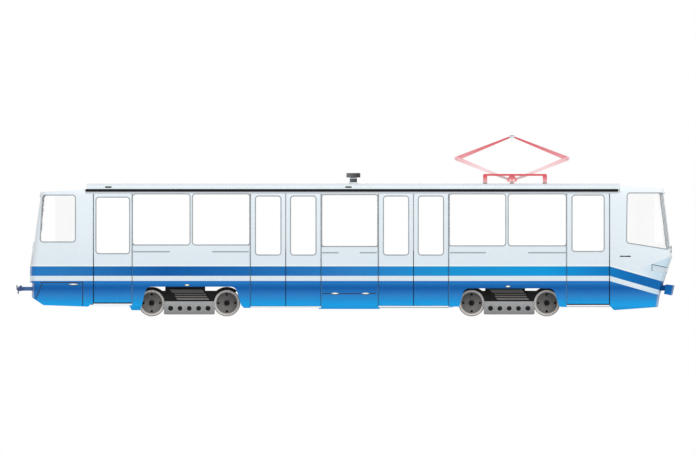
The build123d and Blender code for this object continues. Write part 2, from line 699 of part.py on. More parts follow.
def leaf_parts(doorway, row):
    """One door leaf, its pane, and the post with its two arms."""
    middle = row["post"] + row["sign"] * row["arm"]
    x0 = middle - row["half"]
    x1 = middle + row["half"]
    z0 = doorway["bottom"]
    outer = LEAF_Y - LEAF_THICK / 2
    inner = LEAF_Y + LEAF_THICK / 2
    leaf = box(x0, x1, outer, inner, z0, LEAF_TOP)
    wx0 = x0 + doorway["side"]
    wx1 = x1 - doorway["side"]
    wz0, wz1 = doorway["glass"]
    leaf = leaf - along_y(rounded(wx0, wx1, wz0, wz1, CORNER_R), outer - 5, inner + 5)
    grown = (wx0 - REBATE, wx1 + REBATE)
    tall = (wz0 - REBATE, wz1 + REBATE)
    seat = outer + PANE_INSET
    leaf = leaf - box(*grown, seat, inner + 5, *tall)
    pane = box(*grown, seat, seat + PANE, *tall)
    panel_top = wz0 - REBATE - PRESSING_EDGE
    leaf = leaf - box(x0 + PRESSING_EDGE, x1 - PRESSING_EDGE, inner - PRESSING, inner + 5, z0 + PRESSING_EDGE, panel_top)
    low_arm = z0 - ARM_CLEAR - ARM_THICK
    high_arm = LEAF_TOP + ARM_CLEAR
    brackets = (
        (z0, z0 + BRACKET_THICK, low_arm, z0 + BRACKET_THICK),
        (LEAF_TOP - BRACKET_THICK, LEAF_TOP, LEAF_TOP - BRACKET_THICK, high_arm + ARM_THICK),
    )
    for z_low, z_high, pin_low, pin_high in brackets:
        half = BRACKET_WIDTH / 2
        leaf = leaf + box(middle - half, middle + half, inner - PRESSING - 1, POST_Y + PIN_R, z_low, z_high)
        leaf = leaf + rod_z(middle, POST_Y, PIN_R, pin_low, pin_high)
    tread = tread_top(doorway)
    post = rod_z(row["post"], POST_Y, POST_R, tread + 2, LIP_UP - 2)
    post = post + rod_z(row["post"], POST_Y, PIN_R, tread - POST_PIN_LENGTH + 4, LIP_UP + POST_PIN_LENGTH)
    for arm_z in (low_arm, high_arm):
        arm_outline = Pos((row["post"] + middle) / 2, POST_Y) * SlotCenterToCenter(row["arm"], ARM_WIDTH)
        arm = along_z(arm_outline, arm_z, arm_z + ARM_THICK)
        post = post + (arm - rod_z(middle, POST_Y, PIN_R + PIN_FIT, arm_z - 1, arm_z + ARM_THICK + 1))
    return leaf, pane, post


for doorway in DOORWAYS:
    for row in leaves(doorway):
        tag = doorway["name"] if len(doorway["posts"]) == 1 else f"{doorway['name']}_{row['hand']}"
        leaf, pane, post = leaf_parts(doorway, row)
        save(f"door_{tag}_leaf", leaf)
        save(f"door_{tag}_glass", pane)
        save(f"door_{tag}_post", post)

# Bogies
# The black frame: inner beams with the axle boxes, a transom, and a plate outside between the wheels.
INNER_BEAM_Y = 560.0
INNER_BEAM_W = 120.0
INNER_BEAM_Z = (260.0, 420.0)
INNER_BEAM_HALF = WHEELBASE / 2 + 130.0
AXLE_BOX_R = 120.0
TRANSOM_HALF = 180.0
TRANSOM_Z = (430.0, 600.0)
CENTRE_PLATE_R = 250.0
PLATE_GAP = 1.0
PIVOT_PIN = 80.0
SIDE_Y = (780.0, 900.0)
BLOCK_HALF = WHEELBASE / 2 - 408.0
BLOCK_TOP = 690.0
WIDE_HALF = WHEELBASE / 2 - 175.0
WIDE_Z = (348.0, 598.0)
BLOCK_SHIFT = -95.0
WHEEL_CLEAR_R = TREAD_R + 6.0
GUARD_R = 373.0
GUARD_IN = 45.0
GUARD_OUT = 40.0
# The grey beam with holes under each side plate
BEAM_Y = (870.0, 930.0)
BEAM_HALF = WHEELBASE / 2 - 308.0
BEAM_LOW = 42.0
BEAM_HOLES = 5
BEAM_HOLE_R = 60.0
BEAM_PITCH = 218.0
BEAM_HOLE_Z = 184.0
# Spring leaves on each side plate: ends of the upper edge from the bogie's middle, and heights
LEAVES = [
    {"x0": -457.0, "x1": 293.0, "z0": 549.0, "z1": 626.0},
    {"x0": -352.0, "x1": 382.0, "z0": 502.0, "z1": 527.0},
    {"x0": -341.0, "x1": 395.0, "z0": 445.0, "z1": 478.0},
    {"x0": -308.0, "x1": 435.0, "z0": 384.0, "z1": 425.0},
]
LEAF_SLANT = 0.85
LEAF_OUT = 26.0
MOTOR_X = WHEELBASE / 2 - 435.0
MOTOR_R = 180.0
MOTOR_Z = 330.0
# Half section of a wheelset, as (radius, distance from the middle)
FLANGE_W = 28.0
DISC_R = 245.0
DISC_Y = (775.0, 816.0)
HUB_R = 55.0
HUB_OUT = 30.0


def guard_face(wheel_x, way):
    """The strip over one wheel, from the side plate over the top to its outer end."""
    ring = Pos(wheel_x, FLANGE_R) * (Circle(GUARD_R) - Circle(WHEEL_CLEAR_R))
    far = 1.5 * GUARD_R
    wedge = outline([
        (wheel_x, FLANGE_R),
        (wheel_x - way * far * sin(radians(GUARD_IN)), FLANGE_R + far * cos(radians(GUARD_IN))),
        (wheel_x, FLANGE_R + far),
        (wheel_x + way * far * sin(radians(GUARD_OUT)), FLANGE_R + far * cos(radians(GUARD_OUT))),
    ])
    return ring & wedge


def side_plate(x):
    """The outline of the outer side plate of the bogie at x."""
    face = Pos(x + BLOCK_SHIFT, (WIDE_Z[1] + BLOCK_TOP) / 2) * Rectangle(2 * BLOCK_HALF, BLOCK_TOP - WIDE_Z[1])
    face = face + Pos(x, sum(WIDE_Z) / 2) * Rectangle(2 * WIDE_HALF, WIDE_Z[1] - WIDE_Z[0])
    for way in (-1, 1):
        wheel_x = x + way * WHEELBASE / 2
        face = face - Pos(wheel_x, FLANGE_R) * Circle(WHEEL_CLEAR_R)
        face = face + guard_face(wheel_x, way)
    return face


def bogie_frame(x):
    frame = box(x - TRANSOM_HALF, x + TRANSOM_HALF, -SIDE_Y[0] - 5, SIDE_Y[0] + 5, *TRANSOM_Z)
    inner = (INNER_BEAM_Y - INNER_BEAM_W / 2, INNER_BEAM_Y + INNER_BEAM_W / 2)
    frame = frame + box(x - TRANSOM_HALF, x + TRANSOM_HALF, -inner[1], inner[1], INNER_BEAM_Z[0], TRANSOM_Z[1])
    for side in (-1, 1):
        y0, y1 = on_side(side, *inner)
        frame = frame + box(x - INNER_BEAM_HALF, x + INNER_BEAM_HALF, y0, y1, *INNER_BEAM_Z)
        frame = frame + along_y(side_plate(x), *on_side(side, *SIDE_Y))
        for way in (-1, 1):
            frame = frame + rod_y(x + way * WHEELBASE / 2, FLANGE_R, AXLE_BOX_R, y0, y1)
    for way in (-1, 1):
        frame = frame - rod_y(x + way * WHEELBASE / 2, FLANGE_R, AXLE_R + PIN_FIT, -inner[1] - 5, inner[1] + 5)
    frame = frame + rod_z(x, 0, CENTRE_PLATE_R, TRANSOM_Z[1] - 10, FRAME_LOW - PLATE_GAP)
    return frame + rod_z(x, 0, PIVOT_R, TRANSOM_Z[1], FRAME_LOW + PIVOT_PIN)


def holed_beam(x, side):
    y0, y1 = on_side(side, *BEAM_Y)
    beam = box(x - BEAM_HALF, x + BEAM_HALF, y0, y1, BEAM_LOW, WIDE_Z[0])
    for i in range(BEAM_HOLES):
        hole_x = x + (i - (BEAM_HOLES - 1) / 2) * BEAM_PITCH
        beam = beam - rod_y(hole_x, BEAM_HOLE_Z, BEAM_HOLE_R, y0 - 5, y1 + 5)
    return beam


def spring_leaf(x, side, row):
    shift = LEAF_SLANT * (row["z1"] - row["z0"])
    face = outline([
        (x + row["x0"], row["z1"]),
        (x + row["x1"], row["z1"]),
        (x + row["x1"] + shift, row["z0"]),
        (x + row["x0"] + shift, row["z0"]),
    ])
    return along_y(face, *on_side(side, SIDE_Y[1], SIDE_Y[1] + LEAF_OUT))


def wheelset(x):
    """An axle with its two wheels, turned in one piece."""
    tread_out = WHEEL_IN + WHEEL_WIDTH
    half = [
        (AXLE_R, DISC_Y[0]),
        (DISC_R, DISC_Y[0]),
        (DISC_R, WHEEL_IN),
        (FLANGE_R, WHEEL_IN),
        (FLANGE_R, WHEEL_IN + FLANGE_W),
        (TREAD_R, WHEEL_IN + FLANGE_W),
        (TREAD_R, tread_out),
        (DISC_R, tread_out),
        (DISC_R, DISC_Y[1]),
        (HUB_R, DISC_Y[1]),
        (HUB_R, tread_out + HUB_OUT),
    ]
    section = [(0, tread_out + HUB_OUT), (0, -tread_out - HUB_OUT)]
    section += [(r, -y) for r, y in reversed(half)] + half
    face = Plane(origin=(x, 0, FLANGE_R), x_dir=(1, 0, 0), z_dir=(0, 0, 1)) * outline(section)
    return revolve(face, axis=Axis((x, 0, FLANGE_R), (0, 1, 0)))


for end, x in BOGIE_X.items():
    save(f"bogie_{end}_frame", bogie_frame(x))
    save(f"bogie_{end}_beams", *[holed_beam(x, side) for side in (-1, 1)])
    save(f"bogie_{end}_springs", *[spring_leaf(x, side, row) for side in (-1, 1) for row in LEAVES])
    motor_end = INNER_BEAM_Y - INNER_BEAM_W / 2
    save(f"bogie_{end}_motors", *[rod_y(x + way * MOTOR_X, MOTOR_Z, MOTOR_R, -motor_end, motor_end) for way in (-1, 1)])
    save(f"bogie_{end}_wheelset_a", wheelset(x - WHEELBASE / 2))
    save(f"bogie_{end}_wheelset_b", wheelset(x + WHEELBASE / 2))

# Pantograph
# Two lower arms and two upper arms of one length form a diamond between the base and the head.
PAN_X = 3884.0
PAN_BASE_Z = 3175.0
PAN_HEAD_Z = 4183.0
PAN_OFFSET = 40.0
PAN_KNEE = 1290.0
KNEE_Z = (PAN_BASE_Z + PAN_HEAD_Z) / 2
LOWER_Y = 330.0
UPPER_Y = 285.0
ARM_PLATE = 24.0
LOWER_ROOT_R = 28.0
KNEE_R = 50.0
HEAD_EYE_R = 20.0
KNEE_PIN_R = 14.0
HEAD_PIN_R = 9.0
SHAFT_R = 25.0
SHAFT_PIN_R = 18.0
OPEN_PIN_GAP = 1.0
KNEE_PIN_OUT = 20.0
BRACE_R = 12.0
LOWER_BRACE = 0.3
UPPER_BRACE = (0.2, 0.85)
RAIL_Y = 420.0
RAIL_W = 50.0
RAIL_X = (PAN_X - 676.0, PAN_X + 817.0)
RAIL_Z = (3277.0, 3322.0)
RAIL_END_R = 40.0
RAIL_LEG = 100.0
RAIL_FOOT = 3137.0
RAIL_PLATE_HALF = 55.0
RAIL_FLARE_HALF = 115.0
RAIL_FLARE_Z = 3215.0
RAIL_TIE = 30.0


def tapered_plate(x0, z0, r0, x1, z1, r1, y):
    """A flat arm between two round ends of different size, centred on y."""
    ends = [Pos(x0, z0) * Circle(r0), Pos(x1, z1) * Circle(r1)]
    edges = [edge for end in ends for edge in end.edges()]
    return along_y(make_hull(edges), y - ARM_PLATE / 2, y + ARM_PLATE / 2)


def rail_face():
    """One rail of the base in side view: rounded ends, two end legs and a flared middle leg."""
    x0, x1 = RAIL_X
    face = outline([(x0, RAIL_FOOT), (x0, RAIL_Z[1]), (x1, RAIL_Z[1]), (x1, RAIL_FOOT)])
    face = fillet([v for v in face.vertices() if v.Y > RAIL_Z[1] - 1], RAIL_END_R)
    for way, end_x in ((-1, x0), (1, x1)):
        face = face - outline([
            (end_x - way * RAIL_LEG, RAIL_FOOT - 5),
            (end_x - way * RAIL_LEG, RAIL_Z[0]),
            (PAN_X + way * RAIL_PLATE_HALF, RAIL_Z[0]),
            (PAN_X + way * RAIL_FLARE_HALF, RAIL_FLARE_Z),
            (PAN_X + way * RAIL_FLARE_HALF, RAIL_FOOT - 5),
        ])
    return face


base = box(RAIL_X[0] + RAIL_LEG / 4, RAIL_X[0] + RAIL_LEG * 3 / 4, -RAIL_Y, RAIL_Y, RAIL_FOOT, RAIL_FOOT + RAIL_TIE)
base = base + box(
    RAIL_X[1] - RAIL_LEG * 3 / 4, RAIL_X[1] - RAIL_LEG / 4, -RAIL_Y, RAIL_Y, RAIL_FOOT, RAIL_FOOT + RAIL_TIE
)
for side in (-1, 1):
    base = base + along_y(rail_face(), *on_side(side, RAIL_Y - RAIL_W / 2, RAIL_Y + RAIL_W / 2))
for way in (-1, 1):
    base = base - rod_y(PAN_X + way * PAN_OFFSET, PAN_BASE_Z, SHAFT_PIN_R + PIN_FIT, -RAIL_Y - RAIL_W, RAIL_Y + RAIL_W)
save("pantograph_base", base)

# Insulators under the legs, each turned with two sheds
SHED_R = 60.0
CORE_R = 42.0
INSULATOR_LOW = ROOF_SPRING - 10.0
SHEDS_Z = (RAIL_FOOT - 38.0, RAIL_FOOT - 16.0)
SHED_THICK = 8.0
insulators = []
for side in (-1, 1):
    for leg_x in (RAIL_X[0] + RAIL_LEG / 2, PAN_X, RAIL_X[1] - RAIL_LEG / 2):
        insulator = rod_z(leg_x, side * RAIL_Y, CORE_R, INSULATOR_LOW, RAIL_FOOT)
        for z in SHEDS_Z:
            insulator = insulator + rod_z(leg_x, side * RAIL_Y, SHED_R, z, z + SHED_THICK)
        insulators.append(insulator - roof_solid)
save("insulators", *insulators)


def on_arm(start, end, share, y):
    """A point on the line of an arm at a share of its length."""
    return (start[0] + share * (end[0] - start[0]), y, start[1] + share * (end[1] - start[1]))


for way, name in ((1, "front"), (-1, "rear")):
    root = (PAN_X + way * PAN_OFFSET, PAN_BASE_Z)
    knee = (PAN_X + way * PAN_KNEE, KNEE_Z)
    top = (PAN_X + way * PAN_OFFSET, PAN_HEAD_Z)
    shaft_half = RAIL_Y - RAIL_W / 2 - 5
    lower = rod_y(*root, SHAFT_R, -shaft_half, shaft_half)
    lower = lower + rod_y(*root, SHAFT_PIN_R, -RAIL_Y - RAIL_W / 2, RAIL_Y + RAIL_W / 2)
    pin_half = LOWER_Y + KNEE_PIN_OUT
    lower = lower + rod_y(*knee, KNEE_PIN_R, -pin_half, pin_half)
    lower = lower + bar_between(
        on_arm(root, knee, LOWER_BRACE, -LOWER_Y), on_arm(root, knee, LOWER_BRACE, LOWER_Y), BRACE_R
    )
    upper = None
    for side in (-1, 1):
        lower = lower + tapered_plate(*root, LOWER_ROOT_R, *knee, KNEE_R, side * LOWER_Y)
        plate = tapered_plate(*knee, KNEE_R, *top, HEAD_EYE_R, side * UPPER_Y)
        upper = plate if upper is None else upper + plate
    for side in (-1, 1):
        upper = upper + bar_between(
            on_arm(knee, top, UPPER_BRACE[0], -side * UPPER_Y),
            on_arm(knee, top, UPPER_BRACE[1], side * UPPER_Y),
            BRACE_R,
        )
    upper = upper - rod_y(*knee, KNEE_PIN_R + PIN_FIT, -pin_half, pin_half)
    top_fit = OPEN_PIN_GAP if name == "rear" else PIN_FIT
    upper = upper - rod_y(*top, HEAD_PIN_R + top_fit, -pin_half, pin_half)
    save(f"pantograph_lower_{name}", lower)
    save(f"pantograph_upper_{name}", upper)

# Head: two pins between cheeks, a contact strip and bent horns
CHEEK_Y = UPPER_Y + 30.0
CHEEK = 12.0
HEAD_PIN_OUT = 10.0
STRIP_HALF = 520.0
STRIP_W = 80.0
STRIP_Z = (26.0, 40.0)
HORN_R = 11.0
HORN_OUT = 780.0
HORN_DROP = 90.0
head = box(
    PAN_X - STRIP_W / 2, PAN_X + STRIP_W / 2, -STRIP_HALF, STRIP_HALF, PAN_HEAD_Z + STRIP_Z[0], PAN_HEAD_Z + STRIP_Z[1]
)
cheek_half = PAN_OFFSET + 2 * HEAD_PIN_R
for way in (-1, 1):
    pin_half = CHEEK_Y + HEAD_PIN_OUT
    head = head + rod_y(PAN_X + way * PAN_OFFSET, PAN_HEAD_Z, HEAD_PIN_R, -pin_half, pin_half)
for side in (-1, 1):
    y = side * CHEEK_Y
    head = head + box(
        PAN_X - cheek_half, PAN_X + cheek_half, y - CHEEK / 2, y + CHEEK / 2, PAN_HEAD_Z - 16, PAN_HEAD_Z + STRIP_Z[1] - 5
    )
    horn_z = PAN_HEAD_Z + sum(STRIP_Z) / 2 - 4
    head = head + bar_between(
        (PAN_X, side * (STRIP_HALF - 5), horn_z), (PAN_X, side * HORN_OUT, PAN_HEAD_Z - HORN_DROP), HORN_R
    )
save("pantograph_head", head)

# Roof ventilator: a turned base, neck and cap
VENT_X = 184.0
VENT = [(85.0, 0.0), (85.0, 3205.0), (80.0, 3205.0), (80.0, 3238.0), (161.0, 3238.0), (161.0, 3343.0)]
vent_points = [(0, ROOF_SPRING)] + [(r, max(z, ROOF_SPRING)) for r, z in VENT] + [(0, VENT[-1][1])]
vent = Pos(VENT_X, 0, 0) * revolve(Plane.XZ * outline(vent_points), axis=Axis.Z)
save("roof_vent", vent - roof_solid)

# Front bumper: a tilted bar with the bow of the nose, on two brackets
BUMPER_TIP = 7680.0
BUMPER_SECTION = [(7510, 744), (7680, 723), (7627, 490), (7468, 522)]
BUMPER_HALF = HALF - 350.0
BUMPER_BOW_R = 10270.0
BRACKET_Y = 450.0
BRACKET_HALF = 60.0
BRACKET_Z = (598.0, 728.0)
bow_x = BUMPER_TIP - BUMPER_BOW_R
bow_axis = Axis((bow_x, 0, 0), (0, 0, 1))
bumper = revolve(Plane.XZ * outline(BUMPER_SECTION), axis=bow_axis, revolution_arc=12)
bumper = bumper.rotate(bow_axis, -6)
bumper = bumper & box(bow_x, BUMPER_TIP + BEYOND, -BUMPER_HALF, BUMPER_HALF, 0, FLOOR_TOP)
for side in (-1, 1):
    y = side * BRACKET_Y
    bumper = bumper + box(FRAME_FRONT, 7515, y - BRACKET_HALF, y + BRACKET_HALF, *BRACKET_Z)
save("front_bumper", bumper - front_outer)

# Rear coupler: a shank, a knuckle with its pin hole, a hook that stands up and a prong that hangs down
COUPLER_PIN_R = 22.0
COUPLER_PIN_X = -7588.0
SHANK_Z = (597.0, 688.0)
SHANK_HALF = 48.0
KNUCKLE = (-7640.0, -7538.0, -72.0, 72.0, 590.0, 696.0)
HOOK_HALF = 40.0
HOOK = [(-7636, 600), (-7636, 655), (-7648, 662), (-7652, 725), (-7680, 725), (-7674, 618), (-7650, 600)]
PRONG = [(-7612, 600), (-7640, 600), (-7654, 534), (-7628, 517)]
coupler = box(-7545, -7300, -SHANK_HALF, SHANK_HALF, *SHANK_Z)
coupler = coupler + box(*KNUCKLE)
for points in (HOOK, PRONG):
    coupler = coupler + along_y(outline(points), -HOOK_HALF, HOOK_HALF)
coupler = coupler - rod_z(COUPLER_PIN_X, 0, COUPLER_PIN_R, KNUCKLE[4] - 5, KNUCKLE[5] + 5)
save("rear_coupler", coupler - rear_outer)

# Interior
SEAT_W = 430.0
SEAT_Y = WALL_IN - 65.0 - SEAT_W / 2
SEAT_TOP = FLOOR_TOP + 440.0
BACK_TOP = FLOOR_TOP + 730.0
# Rows of seats: first x, number, pitch and side
SEAT_ROWS = [
    {"first": -6680.0, "count": 2, "pitch": 760.0, "side": 1},
    {"first": -5000.0, "count": 4, "pitch": 707.5, "side": 1},
    {"first": -2170.0, "count": 3, "pitch": 765.0, "side": 1},
    {"first": 80.0, "count": 2, "pitch": 720.0, "side": 1},
    {"first": 1570.0, "count": 2, "pitch": 770.0, "side": 1},
    {"first": 3055.0, "count": 4, "pitch": 715.0, "side": 1},
    {"first": -4500.0, "count": 3, "pitch": 800.0, "side": -1},
    {"first": -200.0, "count": 1, "pitch": 800.0, "side": -1},
    {"first": 2900.0, "count": 3, "pitch": 800.0, "side": -1},
]
# Profile of a seat shell from the foot of its back: x and height over the cushion
SEAT_PROFILE = [(-40, 290), (0, 290), (55, 12), (120, -8), (400, 0), (430, -40), (100, -50), (10, -30)]
STEM_R = 45.0
DRIVER = {"x": 6650.0, "top": FLOOR_TOP + 480.0, "back": FLOOR_TOP + 800.0, "half": 240.0, "depth": 430.0}


def seat(x, y):
    """A moulded seat shell that faces the cab on a round stem."""
    face = outline([(x + dx, SEAT_TOP + dz) for dx, dz in SEAT_PROFILE])
    shell = along_y(face, y - SEAT_W / 2, y + SEAT_W / 2)
    return shell + rod_z(x + SEAT_W / 2, y, STEM_R, FLOOR_TOP, SEAT_TOP - 30)


seats = []
for row in SEAT_ROWS:
    for i in range(row["count"]):
        seats.append(seat(row["first"] + i * row["pitch"], row["side"] * SEAT_Y))
driver_x, driver_half = DRIVER["x"], DRIVER["half"]
driver = box(driver_x, driver_x + DRIVER["depth"], -driver_half, driver_half, DRIVER["top"] - 80, DRIVER["top"])
driver = driver + box(driver_x - 50, driver_x + 30, -driver_half, driver_half, DRIVER["top"] - 80, DRIVER["back"])
driver = driver + rod_z(driver_x + DRIVER["depth"] / 2, 0, 2 * STEM_R, FLOOR_TOP, DRIVER["top"] - 60)
save("seats", *seats, driver)

CONSOLE = [(7170, FLOOR_TOP), (7130, 1420), (7190, 1540), (7600, 1540), (7600, FLOOR_TOP)]
CONSOLE_HALF = HALF - 330.0
save("cab_console", along_y(outline(CONSOLE), -CONSOLE_HALF, CONSOLE_HALF) & front_inner)
PARTITION_X = (6320.0, 6350.0)
PARTITION_HALF = HALF - 100.0
PARTITION_TOP = 2880.0
partition = box(*PARTITION_X, -PARTITION_HALF, PARTITION_HALF, FLOOR_TOP, PARTITION_TOP)
partition = partition - along_x(rounded(150, 1000, 1750, 2700, CORNER_R), PARTITION_X[0] - 5, PARTITION_X[1] + 5)
partition = partition - along_x(rounded(-950, -350, 1650, 2700, CORNER_R), PARTITION_X[0] - 5, PARTITION_X[1] + 5)
save("cab_partition", partition)

# Poles from the floor to the roof, behind the pillars
POLE_R = 17.0
POLE_Y = 620.0
POLE_LEFT_Y = 690.0
POLE_JAMB = 50.0
poles = []
spots = []
for doorway in DOORWAYS[1:]:
    spots.append((doorway["x0"] + POLE_JAMB, POLE_LEFT_Y))
for doorway in DOORWAYS[:-1]:
    spots.append((doorway["x1"] - POLE_JAMB, POLE_LEFT_Y))
for bay in bays:
    if bay["windows"] == 2:
        spots.append(((bay["x0"] + bay["x1"]) / 2 + bay["shift"], -POLE_Y))
for x, y in spots:
    pole = rod_z(x, y, POLE_R, FLOOR_TOP, CANT_TOP)
    poles.append(pole + (rod_z(x, y, POLE_R, CANT_TOP - 5, ROOF_TOP) & roof_room))
save("grab_rails", *poles)
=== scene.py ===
import bpy
from math import ceil, cos, pi, radians, sin, sqrt
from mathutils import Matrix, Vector


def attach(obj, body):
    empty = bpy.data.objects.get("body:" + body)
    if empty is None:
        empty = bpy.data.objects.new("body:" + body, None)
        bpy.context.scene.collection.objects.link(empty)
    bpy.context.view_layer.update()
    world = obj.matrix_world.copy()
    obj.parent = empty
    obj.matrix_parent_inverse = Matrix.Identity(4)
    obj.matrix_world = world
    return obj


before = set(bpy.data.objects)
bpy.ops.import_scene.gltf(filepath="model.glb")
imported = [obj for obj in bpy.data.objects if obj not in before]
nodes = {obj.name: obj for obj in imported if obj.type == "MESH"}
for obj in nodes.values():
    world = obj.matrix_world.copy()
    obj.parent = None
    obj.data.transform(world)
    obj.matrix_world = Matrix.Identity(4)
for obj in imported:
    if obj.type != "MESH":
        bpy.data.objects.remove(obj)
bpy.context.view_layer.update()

# Body panels: pressed steel sheets and moulded ends, sprayed with gloss enamel in the coach
# works. Near-white above, paler towards the roof in painted shade, a deep blue band whose blue
# shifts along the car in painted reflection, a pale band and a blue skirt that brightens
# towards its lower edge in painted shade. A pale-blue painted highlight lies on the nose's chin.
# All bands dip towards the nose ahead of the front door.
NOSE_START = 6.159
NOSE_SLOPE = 0.286
BLUE_TOP = 0.825
BAND_LOW, BAND_HIGH = 0.943, 1.166
PAINT_TOP = 3.2
# Skirt blues by height: painted shade and highlight, deep under the band and bright towards the foot,
# standing for the skirt's curve
SKIRT_BLUES_PAINTED_SHADE = [
    (0.205, "#0292D2"), (0.250, "#009DE4"), (0.300, "#049ADC"), (0.345, "#0F93D8"), (0.395, "#188ACC"),
    (0.440, "#1F85C8"), (0.500, "#2579C0"), (0.555, "#1B6EB6"), (0.602, "#1065AC"), (0.645, "#0459A2"),
    (0.675, "#04599E"), (0.700, "#045FA8"), (0.740, "#1A67AB"), (0.765, "#1D73BB"), (0.810, "#146FBA"),
]
# Upper whites by height: the pale band's own colour, then a painted shade that pales towards the roof
UPPER_WHITES_AND_PAINTED_SHADE = [
    (0.830, "#D6E1E8"), (0.930, "#D9E3E9"), (1.170, "#E8EEEB"), (1.195, "#E8EEEB"), (1.214, "#DAE4EA"),
    (1.500, "#DCE5EA"), (2.000, "#E0E9EE"), (2.600, "#E2ECF1"), (2.860, "#E6EDF3"), (3.000, "#E9F2F6"),
    (3.150, "#EFF5F8"),
]
# The deep band's blue along the car: a painted reflection, darker and lighter in long sweeps
BAND_X = (-7.4, 7.6)
BAND_BLUES_PAINTED_REFLECTION = [
    (-7.2, "#2275BB"), (-6.6, "#2475B6"), (-4.2, "#0357A0"), (-2.5, "#1164AA"), (0.1, "#2879BC"),
    (1.1, "#1C83C5"), (2.4, "#128FCC"), (4.6, "#0395D5"), (5.7, "#0480C4"), (6.9, "#0162A7"),
]
# A pale-blue painted highlight on the nose's chin, below a slanting line
CHIN_PAINTED_HIGHLIGHT = "#C4D9E6"
CHIN_X = (6.850, 7.250)
CHIN_SLOPE, CHIN_FOOT = 0.375, -1.458
DUST = "#9B958A"
DUST_Z = (0.75, 0.15)
DUST_MOST = 0.05
SOFT = (0.3, 0.7)


def linear(code):
    """An sRGB hex colour as the linear colour that a shader takes."""
    values = [int(code[i:i + 2], 16) / 255 for i in (1, 3, 5)]
    return [v / 12.92 if v <= 0.04045 else ((v + 0.055) / 1.055) ** 2.4 for v in values] + [1.0]


def fill(node, links):
    """Feeds or fills a node's sockets. A node that is given there stands for its result."""
    for key, value in links.items():
        if isinstance(value, bpy.types.Node):
            value = value.outputs[2 if value.type == "MIX" else 0]
        if isinstance(value, bpy.types.NodeSocket):
            node.id_data.links.new(value, node.inputs[key])
        else:
            node.inputs[key].default_value = linear(value) if isinstance(value, str) else value


def add(tree, kind, links=None, settings=None, stops=None):
    """Adds a shader node: what its sockets get, its settings, or the name of a sum, and a ramp's
    colours. A Mix mixes colours."""
    made = tree.nodes.new("ShaderNode" + kind)
    if kind == "Mix":
        made.data_type = "RGBA"
    if isinstance(settings, str):
        settings = {"operation": settings}
    for key, value in (settings or {}).items():
        setattr(made, key, value)
    fill(made, links or {})
    if stops:
        ramp = made.color_ramp.elements
        while len(ramp) < len(stops):
            ramp.new(1.0)
        for element, (place, code) in zip(ramp, stops):
            element.position = place
            element.color = linear(code)
    return made


def new_material(name, steady=None):
    """An empty material: its tree, its shader with what is the same all over, and the object's
    own coordinates."""
    material = bpy.data.materials.new(name)
    material.use_nodes = True
    tree = material.node_tree
    tree.nodes.clear()
    shader = add(tree, "BsdfPrincipled", steady)
    add(tree, "OutputMaterial", {0: shader})
    return material, tree, shader, add(tree, "TexCoord").outputs["Object"]


def surface(tree, shader, place, grain_mm, height_mm, rough, patch_mm=400.0):
    """Bump of one grain size, and roughness that varies in soft patches between two values."""
    grain = add(tree, "TexNoise", {"Vector": place, "Scale": 1000 / grain_mm, "Detail": 3.0})
    bump = add(tree, "Bump", {"Height": grain, "Strength": 0.35, "Distance": height_mm / 1000})
    patch = add(tree, "TexNoise", {"Vector": place, "Scale": 1000 / patch_mm, "Detail": 4.0})
    spread = add(tree, "MapRange", {0: patch, 1: SOFT[0], 2: SOFT[1], 3: rough[0], 4: rough[1]})
    fill(shader, {"Normal": bump, "Roughness": spread})
    return patch


def livery(tree, place):
    """The painted bands, by place along the car and height, with painted shade, a painted highlight and a
    painted reflection in them.
    """
    axes = add(tree, "SeparateXYZ", {0: place})
    x, z = axes.outputs[0], axes.outputs[2]
    ahead = add(tree, "Math", {0: x, 1: NOSE_START}, "SUBTRACT")
    past = add(tree, "Math", {0: ahead, 1: 0.0}, "MAXIMUM")
    height = add(tree, "Math", {0: past, 1: NOSE_SLOPE, 2: z}, "MULTIPLY_ADD")
    low = add(tree, "Math", {0: z, 1: PAINT_TOP}, "DIVIDE")
    # Skirt: painted shade and highlight by height
    blue = add(tree, "ValToRGB", {0: low}, stops=[(at / PAINT_TOP, c) for at, c in SKIRT_BLUES_PAINTED_SHADE])
    high = add(tree, "Math", {0: height, 1: PAINT_TOP}, "DIVIDE")
    # Whites: the pale band, then paler towards the roof in painted shade
    white = add(tree, "ValToRGB", {0: high}, stops=[(at / PAINT_TOP, c) for at, c in UPPER_WHITES_AND_PAINTED_SHADE])
    # Chin: a painted highlight below a slanting line on the nose
    rise = add(tree, "Math", {0: x, 1: CHIN_SLOPE, 2: CHIN_FOOT}, "MULTIPLY_ADD")
    under = add(tree, "Math", {0: z, 1: rise}, "LESS_THAN")
    near = add(tree, "MapRange", {0: x, 1: CHIN_X[0], 2: CHIN_X[1]})
    chin_highlight = add(tree, "Math", {0: under, 1: near}, "MULTIPLY")
    pale = add(tree, "Mix", {0: chin_highlight, 6: white, 7: CHIN_PAINTED_HIGHLIGHT})
    above = add(tree, "Math", {0: height, 1: BLUE_TOP}, "GREATER_THAN")
    plain = add(tree, "Mix", {0: above, 6: blue, 7: pale})
    # Deep band: a painted reflection that changes along the car
    along = add(tree, "MapRange", {0: x, 1: BAND_X[0], 2: BAND_X[1]})
    length = BAND_X[1] - BAND_X[0]
    band = add(tree, "ValToRGB", {0: along}, stops=[((at - BAND_X[0]) / length, c) for at, c in BAND_BLUES_PAINTED_REFLECTION])
    middle, half = (BAND_LOW + BAND_HIGH) / 2, (BAND_HIGH - BAND_LOW) / 2
    inside = add(tree, "Math", {0: height, 1: middle, 2: half}, "COMPARE")
    mix = add(tree, "Mix", {0: inside, 6: plain, 7: band})
    return mix, z


